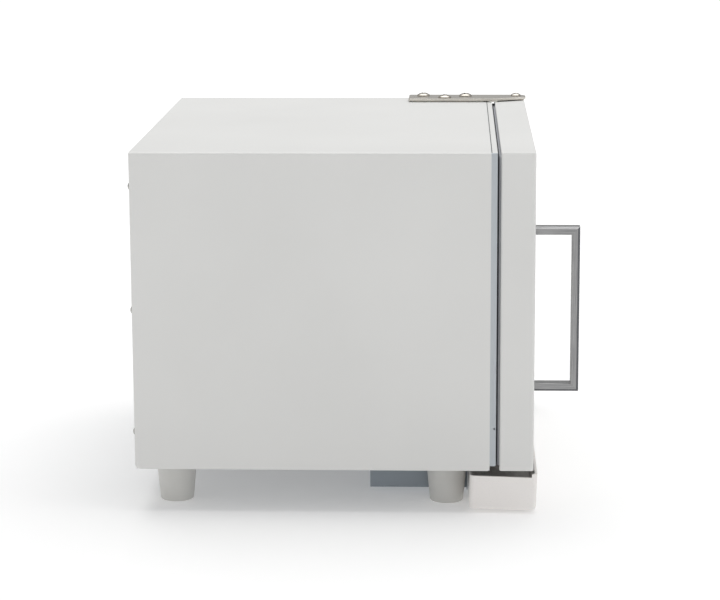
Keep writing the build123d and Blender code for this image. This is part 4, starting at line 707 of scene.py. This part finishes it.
# ---------------------------------------------------------------- chamber vessel, flange and pressure plate
# Stainless steel 304: the vessel is deep drawn and ground round its axis, the flange and the plate are
# faced on a lathe. Light runs round the chamber in narrow bands.
chamber_low, chamber_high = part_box("chamber_flange")
axis_point = (0.0, 0.0, (chamber_low.z + chamber_high.z) / 2)
drawn_stainless = turned_metal("drawn_stainless_ground_round", "B7B8B8", "949697", 1.4, 0.27,
                               middle=axis_point)
faced_stainless = turned_metal("faced_stainless", "C3C4C4", "A3A5A6", 1.1, 0.22, middle=axis_point)
dressed("chamber_vessel", drawn_stainless, edge_mm=0.0)
dressed("chamber_flange", faced_stainless, edge_mm=0.3)
dressed("pressure_plate", faced_stainless, "door", edge_mm=0.4)

# ---------------------------------------------------------------- locking ring, pinion and motor
# The ring is cut from plate, turned, hobbed and oiled: darker than the stainless round it. A brass
# pinion on the gear motor's shaft drives its toothed sector. The motor's can is drawn and zinc plated.
oiled_steel = turned_metal("turned_steel_oiled", "8C8D8E", "6C6E70", 0.9, 0.3, middle=axis_point)
pinion_brass = turned_metal("hobbed_brass", "D2AC62", "A98645", 0.5, 0.3,
                            middle=tuple(sum(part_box("lock_pinion"), Vector()) / 2))
motor_can = turned_metal("drawn_steel_can", "A9ABAD", "8D9092", 0.8, 0.36,
                         middle=tuple(sum(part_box("lock_motor"), Vector()) / 2))
dressed("locking_ring", oiled_steel, "locking_ring", edge_mm=0.3)
dressed("lock_pinion", pinion_brass, "lock_pinion", edge_mm=0.12)
dressed("lock_motor", motor_can, edge_mm=0.3)

# ---------------------------------------------------------------- tray rack and instrument trays
# Stainless sheet, pierced with steam slots, folded and linished along its length, so fine lines run from
# front to back. The trays rest loose on the rack's ledges.
linished_stainless = brushed_metal("linished_stainless", "C4C5C5", "9C9EA0", 1, 0.7, 30.0, 0.26)
for node in ("tray_rack", "tray_lower", "tray_upper"):
    dressed(node, linished_stainless, edge_mm=0.2)

# ---------------------------------------------------------------- catch magnets
# Two sintered magnets, ground flat and nickel plated, that hold the door shut while it is unlocked.
# They are pressed through the frame.
magnet_nickel = turned_metal("nickel_plated_magnet", "B4B4B2", "9A9A98", 0.6, 0.24)
dressed("catch_magnets", magnet_nickel, edge_mm=0.4)

# ---------------------------------------------------------------- cap, pump, valves, filter, fan, inlet
# Moulded black plastics: glass-filled nylon on the pump and valves, ABS on the rest, all with a fine
# matt spark grain that turns soft grey where light grazes it.
black_abs = moulded("moulded_abs_black", "232326", "19191B", 0.9, 0.5, 0.46)
black_nylon = moulded("glass_filled_nylon_black", "2B2C2E", "1E1F21", 1.6, 0.6, 0.55)
dressed("filler_cap", black_abs, "filler_cap", edge_mm=0.4)
for node in ("water_pump", "solenoid_valves"):
    dressed(node, black_nylon, edge_mm=0.4)
for node in ("air_filter", "fan_housing", "power_inlet"):
    dressed(node, black_abs, edge_mm=0.25)
dressed("fan_rotor", black_abs, "fan_rotor", edge_mm=0.2)
dressed("power_rocker", black_abs, "rocker", edge_mm=0.35)

# ---------------------------------------------------------------- water reservoir
# The water tank is blow moulded in natural polypropylene: milky and waxy, with light passing a little way
# into the wall.
milky_polypropylene = moulded("blow_moulded_polypropylene_natural", "E2E5E3", "D5D9D7", 3.0, 0.4, 0.38,
                              under=0.35)
dressed("water_reservoir", milky_polypropylene, edge_mm=0.6)

# ---------------------------------------------------------------- safety valve, condenser and pipes
# Brass bar turned to a hexagon valve with a red pull knob; copper-brass fins and soft drawn pipes,
# dulled by heat.
valve_brass = turned_metal("turned_brass_valve", "CFA55C", "A98444", 0.5, 0.3, middle=axis_point)
heated_brass = moulded("drawn_brass_heat_dulled", "C39A5A", "8E6A3C", 2.5, 0.3, 0.34)
heated_brass.node_tree.nodes["Principled BSDF"].inputs["Metallic"].default_value = 1.0
knob_red = moulded("moulded_phenolic_red", "A32A24", "8F211C", 1.0, 0.2, 0.28)
dressed("safety_valve", valve_brass, edge_mm=0.3)
dressed("condenser_coil", heated_brass, edge_mm=0.1)
dressed("steam_pipes", heated_brass, edge_mm=0.0)
dressed("safety_valve_knob", knob_red, "safety_knob", edge_mm=0.4)

# ---------------------------------------------------------------- heater band and insulation
# The heater is mica plate clamped in a steel band: flaked and speckled. The jacket and the door's pad
# are needled white felt, a mat of crossing fibres drawn 0.6 mm wide, coarser than real so that they show.
def fibrous(name, light, dark, fibre_mm, length_mm, bump, sheen):
    """A mat of short fibres lying every way: two crossed layers of drawn-out noise."""
    shade_ends = (0.45, 0.7)
    mat_depth_mm = 0.4
    material, tree, shader, place = new_material(name)
    first = grain_lines(tree, place, 4.0, 0, fibre_mm, length_mm)
    second = grain_lines(tree, place, 4.0, 2, fibre_mm, length_mm)
    crossed = add_node(tree, "ShaderNodeMath", {"operation": "MAXIMUM"}, {0: first, 1: second}).outputs[0]
    tree.links.new(ramp(tree, crossed, linear(dark), linear(light), *shade_ends), shader.inputs["Base Color"])
    emboss(tree, shader, crossed, bump, mat_depth_mm)
    shader.inputs["Roughness"].default_value = 0.9
    shader.inputs["Sheen Weight"].default_value = sheen
    return material


mica = fibrous("mica_plate_in_steel", "A69C82", "7E7661", 1.2, 3.0, 0.4, 0.0)
felt = fibrous("needled_felt_white", "DAD6C8", "B9B4A4", 0.6, 9.0, 0.8, 0.4)
dressed("heater_band", mica, edge_mm=0.2)
dressed("insulation_jacket", felt, edge_mm=0.8)
dressed("door_insulation", felt, "door", edge_mm=1.2)

# ---------------------------------------------------------------- circuit boards and power supply
# Glass-epoxy boards under green solder mask, with the copper tracks standing faintly through it; the
# supply is in a brushed aluminium case with vent slots pressed into its top.
def solder_mask(name, light, dark, track_mm):
    """Green mask over a maze of copper tracks."""
    maze_mm = 4 * track_mm
    track_repeat = 0.16
    track_edges = (0.06, 0.1)
    material, tree, shader, place = new_material(name)
    squares = add_node(tree, "ShaderNodeTexVoronoi", {"distance": "CHEBYCHEV", "feature": "F1"},
                       {"Vector": place, "Scale": 1.0 / (maze_mm * mm)})
    tracks = add_node(tree, "ShaderNodeMath", {"operation": "PINGPONG"},
                      {0: squares.outputs["Distance"], 1: track_repeat}).outputs[0]
    tree.links.new(ramp(tree, tracks, linear(dark), linear(light), *track_edges), shader.inputs["Base Color"])
    emboss(tree, shader, tracks, 0.3, 0.05)
    shader.inputs["Roughness"].default_value = 0.32
    return material


board_green = solder_mask("solder_mask_green", "1F6B3D", "14502C", 1.0)
satin_aluminium = brushed_metal("brushed_aluminium", "C9CACC", "ABADB0", 1, 0.6, 22.0, 0.34)
dressed("controller_board", board_green, edge_mm=0.2)
dressed("display_board", board_green, "door", edge_mm=0.2)
dressed("power_supply", satin_aluminium, edge_mm=0.3)

# ---------------------------------------------------------------- control panel
# A dark grey moulded bezel snapped into the door, a smoked acrylic window and three soft-touch keys
# with pressed-in marks: a list for the program, a triangle for start, a square for stop.
bezel_grey = moulded("moulded_abs_slate_grey", "565C62", "4C5258", 0.9, 0.5, 0.42)
smoked_acrylic = moulded("polished_acrylic_smoked", "101417", "0B0E10", 20.0, 0.02, 0.06, see_through=0.15)
soft_touch = moulded("soft_touch_keys_grey", "D2D4D6", "C8CACC", 0.8, 0.3, 0.58)
mark_ink = moulded("printed_ink_slate", "3F464D", "384047", 0.8, 0.2, 0.5)
segment_light = moulded("lit_segments_amber", "F2A53A", "E89A30", 4.0, 0.02, 0.4)
segment_glow = 1.1
segment_shader = segment_light.node_tree.nodes["Principled BSDF"]
segment_shader.inputs["Emission Color"].default_value = linear("F5A83C")
segment_shader.inputs["Emission Strength"].default_value = segment_glow
dressed("control_bezel", bezel_grey, "door", edge_mm=0.25)
dressed("display_window", smoked_acrylic, "door", edge_mm=0.25)

ink_height = 0.12 * mm


def raised_shapes(name, outlines, front, material, body):
    """Flat shapes in the upright plane, as thin closed plates standing a little ahead of a face."""
    form = bmesh.new()
    for outline in outlines:
        near = [form.verts.new((x, front - ink_height, z)) for x, z in outline]
        far = [form.verts.new((x, front + ink_height, z)) for x, z in outline]
        form.faces.new(near)
        form.faces.new(list(reversed(far)))
        for corner in range(len(outline)):
            beyond = (corner + 1) % len(outline)
            form.faces.new((near[corner], far[corner], far[beyond], near[beyond]))
    bmesh.ops.recalc_face_normals(form, faces=form.faces)
    shown = piece_from(form, name, material)
    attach(shown, body)
    return shown


def bar(x, z, wide, tall):
    """A rectangle's outline about a middle."""
    return [(x - wide / 2, z - tall / 2), (x + wide / 2, z - tall / 2),
            (x + wide / 2, z + tall / 2), (x - wide / 2, z + tall / 2)]


mark_size = 6.4 * mm
triangle_back = 0.36 * mark_size        # from its middle to its upright side
square_size = 0.8 * mark_size
key_marks = {
    "key_program": lambda x, z: [bar(x, z + step * mark_size / 3, mark_size, mark_size / 7)
                                 for step in (-1, 0, 1)],
    "key_start": lambda x, z: [[(x - triangle_back, z - mark_size / 2), (x + mark_size / 2, z),
                                (x - triangle_back, z + mark_size / 2)]],
    "key_stop": lambda x, z: [bar(x, z, square_size, square_size)],
}
for node, outlines in key_marks.items():
    dressed(node, soft_touch, node, edge_mm=0.25)
    low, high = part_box(node)
    raised_shapes(node + "_mark", outlines((low.x + high.x) / 2, (low.z + high.z) / 2), low.y,
                  mark_ink, node)

# ---------------------------------------------------------------- display figures
# Lit seven-segment figures, seen at the face of the window: a temperature with a unit ring. Below them is a
# row of step lamps.
window_low, window_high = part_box("display_window")
figure_height = 17.0 * mm
figure_width = 9.0 * mm
figure_pitch = 14.5 * mm
stroke = 1.9 * mm
lean = 0.12
figure_lift = 2.5 * mm                  # the figures' middle above the window's
figures_left = 24.0 * mm                # the first figure's middle, left of the window's
ring_place = 2.9                        # in pitches from the first figure
ring_lift = 0.36                        # of a figure's height
ring_inner, ring_outer = 1.5 * mm, 2.5 * mm
ring_steps = 12
lamp_rise = 6.0 * mm
lamp_pitch = 10.0 * mm
lamp_width, lamp_height = 6.0 * mm, 1.2 * mm
lamp_count = 6
segments_of = {"1": "bc", "2": "abged"}


def segment(letter, x, z):
    """One stroke of a figure, pointed at both ends; x and z are the figure's middle."""
    level_at = {"a": 0.5, "g": 0.0, "d": -0.5}
    half = stroke / 2
    gap = 0.25 * mm
    if letter in level_at:
        height = z + level_at[letter] * figure_height
        reach = figure_width / 2 - gap
        points = [(x - reach, height), (x - reach + half, height - half), (x + reach - half, height - half),
                  (x + reach, height), (x + reach - half, height + half), (x - reach + half, height + half)]
    else:
        side = x + (figure_width / 2 if letter in "bc" else -figure_width / 2)
        foot = z + (gap if letter in "bf" else -figure_height / 2 + gap)
        top = foot + figure_height / 2 - 2 * gap
        points = [(side, foot), (side + half, foot + half), (side + half, top - half),
                  (side, top), (side - half, top - half), (side - half, foot + half)]
    return [(px + (pz - z) * lean, pz) for px, pz in points]


display_z = (window_low.z + window_high.z) / 2 + figure_lift
display_start = (window_low.x + window_high.x) / 2 - figures_left
figures = []
for place, digit in enumerate("121"):
    for letter in segments_of[digit]:
        figures.append(segment(letter, display_start + place * figure_pitch, display_z))
ring_x = display_start + ring_place * figure_pitch
ring_z = display_z + figure_height * ring_lift
for step in range(ring_steps):
    turn, after = 2 * math.pi * step / ring_steps, 2 * math.pi * (step + 1) / ring_steps
    figures.append([(ring_x + radius * math.cos(angle), ring_z + radius * math.sin(angle))
                    for radius, angle in ((ring_inner, turn), (ring_outer, turn), (ring_outer, after),
                                          (ring_inner, after))])
lamp_z = window_low.z + lamp_rise
figures += [bar(display_start + lamp * lamp_pitch, lamp_z, lamp_width, lamp_height)
            for lamp in range(lamp_count)]
raised_shapes("display_figures", figures, window_low.y, segment_light, "door")
